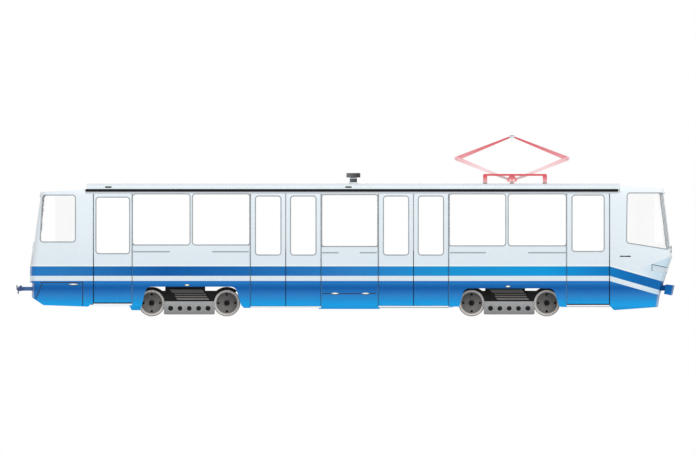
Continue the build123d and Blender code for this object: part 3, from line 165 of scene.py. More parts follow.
# Gloss enamel on steel: a smooth, faintly orange-peeled skin with a little dust low down
enamel, tree, shader, place = new_material("gloss_coach_enamel", {"Specular IOR Level": 0.12})
patch = surface(tree, shader, place, 7.0, 0.25, (0.24, 0.36))
colour, height = livery(tree, place)
low = add(tree, "MapRange", {0: height, 1: DUST_Z[0], 2: DUST_Z[1], 3: 0.0, 4: DUST_MOST})
dusty = add(tree, "Math", {0: low, 1: patch}, "MULTIPLY")
mix = add(tree, "Mix", {0: dusty, 6: colour, 7: DUST})
fill(shader, {"Base Color": mix})


def paint(material, *names):
    """Gives CAD nodes their finish."""
    for name in names:
        mesh = nodes[name].data
        if not mesh.materials:
            mesh.materials.append(material)
        for slot in nodes[name].material_slots:
            slot.material = material


# Each leaf: its rear edge, its front edge and its foot
DOORS = {
    "rear": (-5.869, -4.989, 0.303), "mid_rear_low": (-2.206, -1.400, 0.240),
    "mid_rear_high": (-1.388, -0.582, 0.240), "mid_front_low": (0.780, 1.5805, 0.250),
    "mid_front_high": (1.5925, 2.393, 0.250), "front": (5.171, 6.149, 0.271),
}
paint(enamel, "side_walls", "rear_shell", "front_shell", "skirts", "cant_rails")
paint(enamel, *[f"door_{door}_leaf" for door in DOORS])

# The roof: one arched steel sheet, stiffened by beads that are pressed across it, sprayed
# with enamel and welded to the body's upper edges.
ROOF_SIDE, ROOF_SPRING, ROOF_CROWN = 1.225, 3.050, 3.098
FIRST_BEAD, BEAD_PITCH, BEADS = -5.7, 0.62, 20
BEAD_HALF, ARCH_STEPS = 1.15, 24
BEAD = [(-0.018, -0.004), (-0.012, 0.004), (0.0, 0.006), (0.012, 0.004), (0.018, -0.004)]
SIDES = (-1, 1)
UP = Vector((0, 0, 1))


def two_tone(name, colours, grain_mm, height_mm, rough, patch_mm=400.0, steady=None):
    """A finish in two close colours that pass into each other in soft patches."""
    material, tree, shader, place = new_material(name, steady)
    patch = surface(tree, shader, place, grain_mm, height_mm, rough, patch_mm)
    ramp = add(tree, "ValToRGB", {0: patch}, stops=list(zip(SOFT, colours)))
    fill(shader, {"Base Color": ramp})
    return material


# Bleached enamel: matt and chalky, with no clear reflection left
roof_enamel = two_tone("bleached_roof_enamel", ("#DFE8EC", "#E6EEF3"), 4.0, 0.3, (0.45, 0.62))
paint(roof_enamel, "roof")


def shown(name, data):
    """An object in the scene."""
    thing = bpy.data.objects.new(name, data)
    bpy.context.scene.collection.objects.link(thing)
    return thing


def piece(name, parts, material, body="body", smooth=False, bevel=0.0):
    """One mesh of several parts, each given as points and faces. It rides on a body, with its
    finish and, where its edges are hard, a bevel in metres."""
    vertices, faces = [], []
    for points, around in parts:
        start = len(vertices)
        vertices += points
        faces += [tuple(start + i for i in face) for face in around]
    mesh = bpy.data.meshes.new(name)
    mesh.from_pydata([tuple(v) for v in vertices], [], faces)
    mesh.validate()
    mesh.materials.append(material)
    thing = shown(name, mesh)
    if smooth:
        mesh.shade_smooth()
    if bevel > 0:
        edge = thing.modifiers.new("edge", "BEVEL")
        edge.width = bevel
        edge.segments = 2
        edge.limit_method = "ANGLE"
        edge.harden_normals = smooth
    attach(thing, body)


def loft(vertices, size, closed=False):
    """A skin over loops of points that follow one another: the last is joined to the first, or
    else both ends are closed."""
    count = len(vertices) // size
    faces = []
    for i in range(count if closed else count - 1):
        j = (i + 1) % count
        for k in range(size):
            m = (k + 1) % size
            faces.append((i * size + k, i * size + m, j * size + m, j * size + k))
    if not closed:
        faces.append(tuple(reversed(range(size))))
        faces.append(tuple(range((count - 1) * size, count * size)))
    return vertices, faces


def sweep(path, section, closed=False):
    """Carries a section along a path. Each path point is (point, across, up), and each section
    point is (distance across, height)."""
    points = []
    for here, across, up in path:
        points += [Vector(here) + Vector(across) * a + Vector(up) * h for a, h in section]
    return loft(points, len(section), closed)


def bar(a, b, across, out, section):
    """A straight strip from one point to another, with its section's ways across and out."""
    return sweep([(a, across, out), (b, across, out)], section)


def crown(y):
    """The height of the roof sheet at a distance from the middle."""
    rise = ROOF_CROWN - ROOF_SPRING
    radius = (ROOF_SIDE ** 2 + rise ** 2) / (2 * rise)
    return ROOF_CROWN - radius + sqrt(radius ** 2 - y ** 2)


beads = []
arch = [-BEAD_HALF + 2 * BEAD_HALF * i / ARCH_STEPS for i in range(ARCH_STEPS + 1)]
for i in range(BEADS):
    x = FIRST_BEAD + BEAD_PITCH * i
    beads.append(sweep([((x, y, crown(y)), (1, 0, 0), UP) for y in arch], BEAD))
piece("roof_beads", beads, roof_enamel, smooth=True)

# Roof walkways: strips of ribbed rubber matting, glued to the sheet on both sides of the
# current collector, with their ridges along the car.
MAT_X = (2.55, 5.25)
MAT_Y = (0.62, 0.98)
RIDGES = 9
RIDGE = [(-0.02, -0.008), (-0.017, 0.005), (0.017, 0.005), (0.02, -0.008)]
# Weathered rubber: pale, quite matt and coarse
ribbed = two_tone("ribbed_rubber_matting", ("#D3DADF", "#DEE4E8"), 12.0, 0.4, (0.72, 0.88))
mats = []
for side in SIDES:
    for i in range(RIDGES):
        y = side * (MAT_Y[0] + (MAT_Y[1] - MAT_Y[0]) * (i + 0.5) / RIDGES)
        ends = [(x, y, crown(y)) for x in MAT_X]
        mats.append(bar(*ends, (0, 1, 0), UP, RIDGE))
piece("roof_walkways", mats, ribbed, bevel=0.001)

# Roof grilles: three slats across each air slot in the roof's sides, pressed from steel sheet
# and painted black.
GRILLES = [(-5.607, -5.460), (0.0, 0.142)]
GRILLE_Z = (2.998, 3.030)
SLATS = 3
LOUVRE = [(-0.006, -0.004), (-0.004, 0.006), (0.004, 0.009), (0.007, 0.004), (0.006, -0.004)]
# Satin black: dark, with a soft dull highlight
black_enamel = two_tone(
    "satin_black_enamel", ("#08090A", "#101113"), 3.0, 0.15, (0.38, 0.55),
    steady={"Specular IOR Level": 0.15})
louvres = []
for side in SIDES:
    for x0, x1 in GRILLES:
        for i in range(SLATS):
            z = GRILLE_Z[0] + (GRILLE_Z[1] - GRILLE_Z[0]) * (i + 0.5) / SLATS
            y = side * ROOF_SIDE
            louvres.append(bar((x0, y, z), (x1, y, z), UP, (0, side, 0), LOUVRE))
piece("roof_grilles", louvres, black_enamel, bevel=0.0008)

# The gutters: an extruded channel along each side under the roof, painted black, over a
# pale brush seal that keeps rain off the door heads, darkened under the gutter by a painted
# shadow. A trim covers the end of the roof sheet.
HALF = 1.250
DOOR_HEAD, BRUSH_Z = 2.862, 2.907
BRUSH_X = (-6.065, 6.359)
BRUSH = [(-0.046, 0.0005), (-0.044, 0.0035), (0.0, 0.009), (0.002, -0.002)]
ROOF_END = 6.404
TRIM_Z = (2.900, 2.990)
TRIM = [(-0.014, -0.003), (-0.012, 0.003), (0.012, 0.003), (0.014, -0.003)]
paint(black_enamel, "gutters")


def shaded(name, axis, reach, stops, grain_mm, height_mm, rough, patch_mm=400.0, steady=None):
    """A finish whose colour runs along an axis (0 to 2) between two places. Returns the material,
    then its tree, shader, soft patches and colour for more work on them."""
    material, tree, shader, place = new_material(name, steady)
    patch = surface(tree, shader, place, grain_mm, height_mm, rough, patch_mm)
    axes = add(tree, "SeparateXYZ", {0: place})
    share = add(tree, "MapRange", {0: axes.outputs[axis], 1: reach[0], 2: reach[1]})
    ramp = add(tree, "ValToRGB", {0: share}, stops=stops)
    fill(shader, {"Base Color": ramp})
    return material, tree, shader, patch, ramp


# Brush seal: soft and quite matt, darker towards the gutter in a painted shadow of the gutter
BRUSH_GUTTER_SHADOW = [(0.0, "#D3DADF"), (1.0, "#AEB1B5")]
pale_seal_gutter_shadow = shaded("pale_brush_seal_gutter_shadow", 2, (DOOR_HEAD, BRUSH_Z), BRUSH_GUTTER_SHADOW, 3.0, 0.4, (0.7, 0.85))[0]
brushes, trims = [], []
for side in SIDES:
    y, out = side * HALF, (0, side, 0)
    brushes.append(bar((BRUSH_X[0], y, BRUSH_Z), (BRUSH_X[1], y, BRUSH_Z), UP, out, BRUSH))
    trims.append(bar((ROOF_END, y, TRIM_Z[0]), (ROOF_END, y, TRIM_Z[1]), (1, 0, 0), out, TRIM))
piece("gutter_brush_seals", brushes, pale_seal_gutter_shadow)
piece("roof_end_trims", trims, roof_enamel)

# Glazing: clear toughened panes set in from outside, each in a moulded grey rubber frame that
# is clipped round it. The side rubbers follow the body's round corners at both ends.
# Toughened glass: clear and sharp, with a faint smear from washing
clear_glass, tree, shader, place = new_material(
    "clear_toughened_glass", {"Base Color": "#FFFFFF", "Transmission Weight": 1.0, "IOR": 1.5})
smear = add(tree, "TexNoise", {"Vector": place, "Scale": 1000 / 250, "Detail": 5.0})
spread = add(tree, "MapRange", {0: smear, 1: 0.35, 2: 0.75, 3: 0.0, 4: 0.02})
fill(shader, {"Roughness": spread})
paint(clear_glass, "glazing", *[f"door_{door}_glass" for door in DOORS])
# Grey rubber: matt, a little blotched with age
seal_grey = two_tone("grey_moulded_rubber", ("#8F959A", "#A3A9AE"), 2.0, 0.1, (0.55, 0.75))


def rounded_path(corners, radii, steps=6):
    """Points round a polygon with round corners: two values for the place, two for the way out."""
    centre = sum((Vector(c) for c in corners), Vector((0, 0))) / len(corners)
    points = []
    for i, corner in enumerate(corners):
        here = Vector(corner)
        back = (Vector(corners[i - 1]) - here).normalized()
        on = (Vector(corners[(i + 1) % len(corners)]) - here).normalized()
        half = back.angle(on) / 2
        middle = here + (back + on).normalized() * (radii[i] / sin(half))
        start, end = Vector((back.y, -back.x)), Vector((-on.y, on.x))
        start = start if start.dot(here - centre) > 0 else -start
        end = end if end.dot(here - centre) > 0 else -end
        for k in range(steps + 1):
            out = start.slerp(end, k / steps)
            place = middle + out * radii[i]
            points.append(Vector((place.x, place.y, out.x, out.y)))
    return points


def spaced(points, step, closed=False):
    """A run with more points, none further from the next than a step."""
    more = []
    for a, b in zip(points, points[1:] + (points[:1] if closed else [])):
        parts = max(1, ceil((b.xy - a.xy).length / step))
        more += [a.lerp(b, k / parts) for k in range(parts)]
    return more if closed else more + points[-1:]


# Each end: where it starts to draw in and how steeply, its tip by height, and its bow
SHELLS = {"rear": (-6.250, 0.094), "front": (6.500, 0.131)}
SHELL_LEVELS = {
    "rear": [(0.150, -7.317), (0.779, -7.317), (0.789, -7.361), (1.164, -7.361), (3.060, -7.098)],
    "front": [(0.100, 7.270), (0.474, 7.331), (0.796, 7.426), (1.407, 7.629), (3.060, 7.419)],
}
BOW = {"rear": 0.045, "front": 0.060}
CORNER = 0.150
WRAP_Y = 1.030


def skin_y(x):
    """How far the body's side is from the middle at a place along the car."""
    draw_in = 0.0
    for start, taper in SHELLS.values():
        if start * x > start * start:
            draw_in = taper * abs(x - start)
    return HALF - draw_in


def end_plan(end, z):
    """The plan of one end at a height, with distances along the car taken as positive: the
    centre and radius of its bow, then the centre of its round corner."""
    for (z0, x0), (z1, x1) in zip(SHELL_LEVELS[end], SHELL_LEVELS[end][1:]):
        if z <= z1:
            break
    tip = abs(x0 + (x1 - x0) * (z - z0) / (z1 - z0))
    start, taper = SHELLS[end]
    half = HALF - taper * (tip - BOW[end] - abs(start))
    radius = (half ** 2 + BOW[end] ** 2) / (2 * BOW[end])
    centre = tip - radius
    slope = sqrt(1 + taper ** 2)
    side_y = HALF + taper * abs(start) - CORNER * slope
    mid = centre + side_y * taper
    root = mid ** 2 - slope ** 2 * (centre ** 2 + side_y ** 2 - (radius - CORNER) ** 2)
    corner_x = (mid + sqrt(root)) / slope ** 2
    return centre, radius, corner_x, side_y - taper * corner_x


def end_x(end, y, z):
    """Where the end face of the body is, at a place across the car and a height."""
    way = 1.0 if end == "front" else -1.0
    centre, radius, corner_x, corner_y = end_plan(end, z)
    if abs(y) > radius * corner_y / (radius - CORNER):
        return way * (corner_x + sqrt(CORNER ** 2 - (abs(y) - corner_y) ** 2))
    return way * (centre + sqrt(radius ** 2 - y ** 2))


def side_place(x, z, out, side):
    """A place on the side of the body, round to the front of its corners: the point, a way
    along the surface given as x and z, and the way straight out."""
    end, way = ("front", 1.0) if x > 0 else ("rear", -1.0)
    corner_x, corner_y = end_plan(end, z)[2:]
    reach, face, normal = abs(x), skin_y(x), Vector((0, side, 0))
    if reach > corner_x:
        limit = abs(end_x(end, WRAP_Y, z))
        if reach > limit:
            reach, out = limit, Vector((way, 0))
        rise = sqrt(CORNER ** 2 - (reach - corner_x) ** 2)
        if corner_y + rise < face:
            face = corner_y + rise
            normal = Vector((way * (reach - corner_x), side * rise, 0)) / CORNER
    across = Vector((out.x * abs(normal.y), -out.x * way * side * abs(normal.x), out.y))
    return Vector((way * reach, side * face, z)), across, normal


RIM = [(-0.002, -0.004), (-0.001, 0.004), (0.004, 0.007), (0.017, 0.007), (0.022, 0.003), (0.023, -0.004)]
FINE_STEP = 0.02


def side_ring(corners, radii, side, face=None):
    """A window rubber round an opening in x and z, on a flat face or else on the body's side."""
    points = rounded_path(corners, radii)
    if face is None:
        path = [side_place(p[0], p[1], p.zw, side) for p in spaced(points, FINE_STEP, True)]
    else:
        path = [((p[0], side * face, p[1]), (p[2], 0, p[3]), (0, side, 0)) for p in points]
    return sweep(path, RIM, True)


def pane_corners(x0, x1, z0, z1):
    """The four corners of an upright pane, in order round it."""
    return [(x0, z0), (x1, z0), (x1, z1), (x0, z1)]


# Each saloon window: rear and front edge, foot and top, and the radii of its two lower corners
ROUND, SQUARE = 0.060, 0.010
BAYS = [
    (-4.960, -3.637, 1.675, 2.846, (SQUARE, ROUND)), (-3.560, -2.237, 1.675, 2.846, (ROUND, SQUARE)),
    (-0.551, 0.749, 1.640, 2.830, (SQUARE, SQUARE)),
    (2.424, 3.7295, 1.654, 2.846, (SQUARE, ROUND)), (3.8065, 5.142, 1.654, 2.846, (ROUND, SQUARE)),
]
ALL_ROUND = (ROUND, ROUND, ROUND, ROUND)
LEFT_TOP, LEFT_LOWER, LEFT_LOW = 2.846, 0.004, 1.436
LEFT_WIDE = [(-5.814, -5.046), (-2.151, -0.637), (0.835, 2.338), (5.228, 6.094)]
REAR_QUARTER = [(-7.058, 2.818), (-6.311, 2.818), (-6.311, 1.745), (-7.116, 1.745)]
CAB_SIDE = [(6.581, 2.868), (7.426, 2.868), (7.556, 1.566), (6.567, 1.724)]
rings = []
for x0, x1, z0, z1, low in BAYS:
    rings.append(side_ring(pane_corners(x0, x1, z0, z1), (*low, ROUND, ROUND), -1, HALF))
    rings.append(side_ring(pane_corners(x0, x1, z0 - LEFT_LOWER, LEFT_TOP), ALL_ROUND, 1, HALF))
for x0, x1 in LEFT_WIDE:
    rings.append(side_ring(pane_corners(x0, x1, LEFT_LOW, LEFT_TOP), ALL_ROUND, 1, HALF))
for side in SIDES:
    for corners in (REAR_QUARTER, CAB_SIDE):
        rings.append(side_ring(corners, ALL_ROUND, side))
piece("window_rubbers", rings, seal_grey, smooth=True)

# Each door pane: rear and front edge, foot and top
DOOR_GLASS = {
    "rear": (-5.811, -5.047, 1.472, 2.770), "mid_rear_low": (-2.090, -1.516, 1.440, 2.796),
    "mid_rear_high": (-1.272, -0.698, 1.440, 2.796), "mid_front_low": (0.896, 1.4645, 1.440, 2.796),
    "mid_front_high": (1.7085, 2.277, 1.440, 2.796), "front": (5.295, 6.025, 1.523, 2.818),
}
LEAF_FACE = HALF - 0.004
for door, edges in DOOR_GLASS.items():
    ring = side_ring(pane_corners(*edges), ALL_ROUND, -1, LEAF_FACE)
    piece(f"door_{door}_window_rubber", [ring], seal_grey, f"door_{door}", smooth=True)

# End windows: the windscreen and the rear window, each held by a broad pale rubber that is
# moulded to the bow of the end and pressed in round the glass.
END_RIM = [(-0.004, -0.006), (-0.002, 0.001), (0.006, 0.003), (0.026, 0.003), (0.034, 0.001), (0.036, -0.008)]
END_STEP, END_RADIUS, END_TURN_STEPS, END_LEAN = 0.12, 0.090, 8, 0.13
# Each end: half the opening's width, its foot and its top
END_WINDOWS = {"front": (0.950, 1.560, 2.850), "rear": (0.980, 1.720, 2.800)}
ends = []
for end, (half, z0, z1) in END_WINDOWS.items():
    way = 1.0 if end == "front" else -1.0
    path = []
    points = rounded_path(pane_corners(-half, half, z0, z1), [END_RADIUS] * 4, END_TURN_STEPS)
    for y, z, out_y, out_z in spaced(points, END_STEP, True):
        path.append(((end_x(end, y, z), y, z), (0, out_y, out_z), (way, 0, END_LEAN * way)))
    ends.append(sweep(path, END_RIM, True))
piece("end_window_rubbers", ends, pale_seal_gutter_shadow, smooth=True)

# Door and body seams: extruded rubber edges. The leaves' meeting edges and the end jambs
# carry black nosings, the other jambs a grey one, each pressed on along its whole height.
NOSING = [(-0.011, -0.004), (-0.011, 0.003), (-0.006, 0.006), (0.006, 0.006), (0.011, 0.003), (0.011, -0.004)]
FINE_NOSING = [
    (-0.004, -0.004), (-0.004, 0.002), (-0.002, 0.004), (0.002, 0.004), (0.004, 0.002), (0.004, -0.004),
]
# Each jamb: its place along the car, the way out of the doorway, and its foot
JAMBS_GREY = [
    (-4.981, 1, 0.285), (-2.216, -1, 0.225), (-0.572, 1, 0.225), (0.770, -1, 0.235), (2.403, 1, 0.235),
    (5.163, -1, 0.255),
]
JAMBS_BLACK = [(-5.884, -1, 0.290), (6.164, 1, 0.262)]
GREY_OUT, BLACK_OUT, BLACK_RISE = 0.0105, 0.003, 0.040


def upright(x, z0, z1, face, section):
    """A rubber edge that runs up the door side of the body."""
    return bar((x, -face, z0), (x, -face, z1), (1, 0, 0), (0, -1, 0), section)


# Oversprayed rubber: matt, and tinted by the paint of the bands that it crosses
SPRAYED = [
    (0.200, "#3187B0"), (0.357, "#3386B2"), (0.500, "#3A76A8"), (0.730, "#2A6699"), (0.823, "#2E699B"),
    (0.829, "#AEB0AD"), (0.941, "#AEB0AD"), (0.946, "#2D70A3"), (1.163, "#2D70A3"), (1.170, "#A1A8AD"),
    (3.000, "#A0A6AA"),
]
jamb_grey = shaded(
    "oversprayed_grey_rubber", 2, (0.0, PAINT_TOP), [(z / PAINT_TOP, c) for z, c in SPRAYED],
    2.0, 0.1, (0.55, 0.75), steady={"Specular IOR Level": 0.2})[0]
# Black rubber: deep, matt and even
seal_black = two_tone(
    "black_moulded_rubber", ("#0D0E0F", "#17181A"), 2.0, 0.1, (0.5, 0.7), steady={"Specular IOR Level": 0.2})
grey_edges = [upright(x + way * GREY_OUT, z, DOOR_HEAD, HALF, NOSING) for x, way, z in JAMBS_GREY]
piece("jamb_rubbers", grey_edges, jamb_grey)
black_top = DOOR_HEAD + BLACK_RISE
black_edges = [upright(x + way * BLACK_OUT, z, black_top, HALF, FINE_NOSING) for x, way, z in JAMBS_BLACK]
piece("end_jamb_rubbers", black_edges, seal_black)
LEAF_DEEP = 0.034
for door in [door for door in DOORS if door.startswith("mid")]:
    x, way = (DOORS[door][1], 1) if door.endswith("low") else (DOORS[door][0], -1)
    lip = [
        (-0.003 * way, 0.002), (0.001 * way, 0.002), (0.004 * way, -0.006), (0.004 * way, -LEAF_DEEP),
        (0.0, -LEAF_DEEP), (0.0, -0.002), (-0.003 * way, -0.002),
    ]
    edge = upright(x, DOORS[door][2], DOOR_HEAD, LEAF_FACE, lip)
    piece(f"door_{door}_nosing", [edge], seal_black, f"door_{door}")
SILL = [(-0.011, -0.002), (-0.011, 0.002), (0.0, 0.004), (0.009, 0.002), (0.009, -0.002)]
SILL_UP = 0.011
for door in ("rear", "front"):
    x0, x1, z0 = DOORS[door]
    sill = bar((x0, -LEAF_FACE, z0 + SILL_UP), (x1, -LEAF_FACE, z0 + SILL_UP), UP, (0, -1, 0), SILL)
    piece(f"door_{door}_sill_rubber", [sill], seal_black, f"door_{door}")

# Belt strips: drawn aluminium bars with round ends, anodised, and screwed to the panels under
# the saloon windows.
# Each strip: its rear end, its front end and its height
BELTS = [
    (-4.960, -4.094, 1.507), (-3.114, -2.251, 1.507), (-0.548, -0.163, 1.484), (0.327, 0.735, 1.484),
    (2.438, 3.278, 1.484), (4.258, 5.145, 1.484),
]
BELT_HALF, BELT_RISE = 0.012, 0.007


def brushed_metal(name, stretch, colours, rough, metallic):
    """A metal with fine lines in one direction, which colour and roughness both follow."""
    material, tree, shader, place = new_material(name, {"Metallic": metallic})
    stretched = add(tree, "Mapping", {0: place, 3: stretch})
    brush = add(tree, "TexNoise", {"Vector": stretched, "Scale": 1.0, "Detail": 2.0})
    spread = add(tree, "MapRange", {0: brush, 3: rough[0], 4: rough[1]})
    ramp = add(tree, "ValToRGB", {0: brush}, stops=list(zip(SOFT, colours)))
    fill(shader, {"Roughness": spread, "Base Color": ramp})
    return material


def lozenge(x0, x1, z, half, skin, side, rise, steps=6):
    """A low strip with round ends and a crowned front, lying on a side of the body."""
    loop = []
    for cx, first in ((x1 - half, -pi / 2), (x0 + half, pi / 2)):
        loop += [(cx, first + pi * k / steps) for k in range(steps + 1)]
    vertices = []
    for share, height in ((1.0, -0.003), (1.0, rise * 0.5), (0.72, rise)):
        for cx, angle in loop:
            x = cx + half * share * cos(angle)
            vertices.append((x, side * (skin(x) + height), z + half * share * sin(angle)))
    faces = loft(vertices, len(loop))[1]
    if side > 0:
        faces = [tuple(reversed(face)) for face in faces]
    return vertices, faces


def flat_side(x):
    """How far the body's side is from the middle where it runs straight."""
    return HALF


# Anodised aluminium: dull silver, drawn along its length
anodised = brushed_metal(
    "dull_anodised_aluminium", (6.0, 200.0, 900.0), ("#878D92", "#9AA0A5"), (0.38, 0.58), 0.4)
belts = [lozenge(x0, x1, z, BELT_HALF, flat_side, side, BELT_RISE) for x0, x1, z in BELTS for side in SIDES]
piece("belt_strips", belts, anodised, smooth=True, bevel=0.001)

# Access panels: hinged flaps in the skirt and in the sides of the rear end, with a rubber joint
# along their edges and pale moulded pull handles shaped like a lens, each in a dark recess.
JOINT = [(-0.012, -0.003), (-0.010, 0.0015), (0.0, 0.0025), (0.010, 0.0015), (0.012, -0.003)]
REAR_FLAP = [
    [(-7.120, 0.788), (-6.250, 0.788), (-6.120, 0.788)], [(-6.132, 0.780), (-6.132, 0.246)],
    [(-7.080, 0.766), (-7.130, 0.640), (-7.224, 0.412)],
]
MID_FLAP = [[(-0.548, 0.532), (0.712, 0.532)]]
# Moulded plastic: nearly white, smooth, with a soft shine
lens_pale = two_tone("pale_moulded_handle", ("#E4EBE6", "#F1F4EE"), 2.0, 0.08, (0.25, 0.4))
# Joint rubber: matt, and dark blue from overspray
joint_blue = two_tone("blue_black_panel_joint", ("#05182E", "#081F3A"), 2.0, 0.1, (0.5, 0.7))


def side_line(points, side, section=JOINT):
    """A thin strip along a run of (x, z) points on a side of the body."""
    path = []
    run = spaced([Vector(point) for point in points], FINE_STEP)
    for i, here in enumerate(run):
        along = (run[min(i + 1, len(run) - 1)] - run[max(i - 1, 0)]).normalized()
        path.append(side_place(here.x, here.y, Vector((-along.y, along.x)), side))
    return sweep(path, section)


def lens(x, z, length, height, side, skin, rise, back=0.002, steps=12):
    """A plate with two arched edges that meet in points, domed to the middle."""
    angles = [pi * k / steps for k in range(2 * steps)]
    rim = [(length * (0.5 - abs(1 - angle / pi)), height / 2 * sin(angle)) for angle in angles]
    vertices = []
    for share, out in ((1.0, -back), (1.0, rise * 0.3), (0.6, rise * 0.85)):
        vertices += [(x + u * share, side * (skin(x + u * share) + out), z + v * share) for u, v in rim]
    count = len(rim)
    faces = loft(vertices, count)[1][:-2]
    vertices += [(x, side * (skin(x) + out), z) for out in (rise, -back)]
    for i in range(count):
        j = (i + 1) % count
        faces += [(2 * count + i, 2 * count + j, 3 * count), (j, i, 3 * count + 1)]
    if side < 0:
        faces = [tuple(reversed(face)) for face in faces]
    return vertices, faces


joints = [side_line(line, side) for line in REAR_FLAP + MID_FLAP for side in SIDES]
piece("panel_joints", joints, joint_blue)
# Each handle: its place, its length and height, and the side that it lies on
HANDLES = [
    (-0.245, 0.532, 0.190, 0.040, flat_side), (0.467, 0.532, 0.190, 0.040, flat_side),
    (-3.698, 0.728, 0.120, 0.040, flat_side), (3.791, 0.696, 0.120, 0.040, flat_side),
    (-6.350, 0.746, 0.240, 0.034, skin_y),
]
LENS_RISE, RECESS_RISE, RECESS_DROP = 0.008, 0.0035, 0.003
RECESS_LONGER, RECESS_HIGHER = 0.050, 0.020
lenses, recesses = [], []
for x, z, length, height, skin in HANDLES:
    for side in SIDES:
        lenses.append(lens(x, z, length, height, side, skin, LENS_RISE))
        wide, high = length + RECESS_LONGER, height + RECESS_HIGHER
        recesses.append(lens(x, z - RECESS_DROP, wide, high, side, skin, RECESS_RISE))
piece("lens_handles", lenses, lens_pale, smooth=True)
piece("handle_recesses", recesses, joint_blue, smooth=True)

# Cab side handles: a black rubber-covered grip on each side of the cab, screwed on under the
# side window.
GRIP_X = (6.402, 6.656)
GRIP_Z, GRIP_HALF, GRIP_RISE = 1.400, 0.014, 0.008
grips = [lozenge(*GRIP_X, GRIP_Z, GRIP_HALF, skin_y, side, GRIP_RISE) for side in SIDES]
piece("cab_side_handles", grips, seal_black, smooth=True, bevel=0.001)

# Lamps: the wrap-round headlamp lenses and the red tail lamps are moulded acrylic. A thin
# black gasket follows each headlamp's edge, and two turned reflectors sit at its face.
HEADLAMP = [(7.149, 1.059), (7.149, 1.209), (7.560, 1.1264)]
LAMP_IN, LAMP_FALL = 0.690, 0.201
LAMP_STEPS = 12
GASKET = [(-0.007, -0.003), (-0.005, 0.003), (0.005, 0.003), (0.007, -0.003)]
REFLECTOR = [
    (0.0, -0.003), (0.070, -0.003), (0.070, 0.003), (0.064, 0.005), (0.058, 0.003), (0.054, 0.001),
    (0.030, 0.002), (0.016, 0.004), (0.0, 0.005),
]
REFLECTOR_Y, REFLECTOR_Z, REFLECTOR_IN = (0.778, 0.932), 1.085, 0.002
REFLECTOR_OUT = (0.949, 0.09, -0.315)
# Clear acrylic: flutes 18 mm apart break its shine into upright bars
FLUTES = 1000 / 18 / (2 * pi)
lamp_clear, tree, shader, place = new_material(
    "clear_fluted_acrylic", {"Base Color": "#D3E2EC", "Transmission Weight": 0.15, "IOR": 1.49})
flutes = add(tree, "TexWave", {"Vector": place, "Scale": FLUTES, "Distortion": 0.0}, {"bands_direction": "Y"})
bump = add(tree, "Bump", {"Height": flutes.outputs[1], "Strength": 0.25, "Distance": 0.001})
haze = add(tree, "TexNoise", {"Vector": place, "Scale": 1000 / 60, "Detail": 4.0})
spread = add(tree, "MapRange", {0: haze, 3: 0.08, 4: 0.2})
fill(shader, {"Normal": bump, "Roughness": spread})
paint(lamp_clear, "headlamps")
# Red acrylic: 6 mm prisms that glint one by one
lamp_red, tree, shader, place = new_material("red_prismatic_acrylic", {"Transmission Weight": 0.3})
prisms = add(tree, "TexVoronoi", {"Vector": place, "Scale": 1000 / 6})
bump = add(tree, "Bump", {"Height": prisms, "Strength": 0.4, "Distance": 0.001})
ramp = add(tree, "ValToRGB", {0: prisms}, stops=[(0.0, "#C4121B"), (1.0, "#8E0A12")])
spread = add(tree, "MapRange", {0: prisms, 3: 0.1, 4: 0.22})
fill(shader, {"Normal": bump, "Base Color": ramp, "Roughness": spread})
paint(lamp_red, "tail_lamps")
# Chrome: bright, with a light haze
chromed = two_tone(
    "chromed_reflector", ("#C9CFD3", "#E3E8EB"), 6.0, 0.2, (0.08, 0.18), 40.0, {"Metallic": 0.9})


def turned(centre, axis, profile, steps=24):
    """A body of revolution: a profile of (radius, distance along the axis) round a centre."""
    axis = Vector(axis).normalized()
    first = axis.orthogonal().normalized()
    second = axis.cross(first)
    angles = [2 * pi * k / steps for k in range(steps)]
    vertices = []
    for radius, along in profile:
        middle = Vector(centre) + axis * along
        vertices += [middle + (first * cos(angle) + second * sin(angle)) * radius for angle in angles]
    return loft(vertices, steps)


gaskets, reflectors = [], []
turn_x = end_x("front", WRAP_Y, HEADLAMP[2][1])
turn_z = HEADLAMP[1][1] - LAMP_FALL * (turn_x - HEADLAMP[1][0])
for side in SIDES:
    gaskets.append(side_line(HEADLAMP[:2], side, GASKET))
    gaskets.append(side_line([HEADLAMP[1], (turn_x, turn_z)], side, GASKET))
    across = []
    for k in range(LAMP_STEPS + 1):
        y = WRAP_Y + (LAMP_IN - WRAP_Y) * k / LAMP_STEPS
        z = turn_z - LAMP_FALL * (end_x("front", y, turn_z) - turn_x)
        across.append(((end_x("front", y, z), side * y, z), UP, (1, 0, 0)))
    gaskets.append(sweep(across, GASKET))
    for y in REFLECTOR_Y:
        centre = (end_x("front", y, REFLECTOR_Z) - REFLECTOR_IN, side * y, REFLECTOR_Z)
        out_x, out_y, out_z = REFLECTOR_OUT
        reflectors.append(turned(centre, (out_x, side * out_y, out_z), REFLECTOR))
piece("headlamp_gaskets", gaskets, seal_black)
piece("headlamp_reflectors", reflectors, chromed, smooth=True, bevel=0.0006)

# The nose's bumper: a bar pressed from thick steel sheet to the bow of the end, enamelled and
# bolted to the underframe.
# Bumper enamel: a duller gloss than the panels, deeper towards its top
BUMPER_FADE = [(0.0, "#0668B0"), (1.0, "#035A9E")]
bumper_blue = shaded(
    "blue_bumper_enamel", 2, (0.49, 0.75), BUMPER_FADE, 7.0, 0.25, (0.28, 0.42), 150.0,
    {"Specular IOR Level": 0.12})[0]
paint(bumper_blue, "front_bumper")

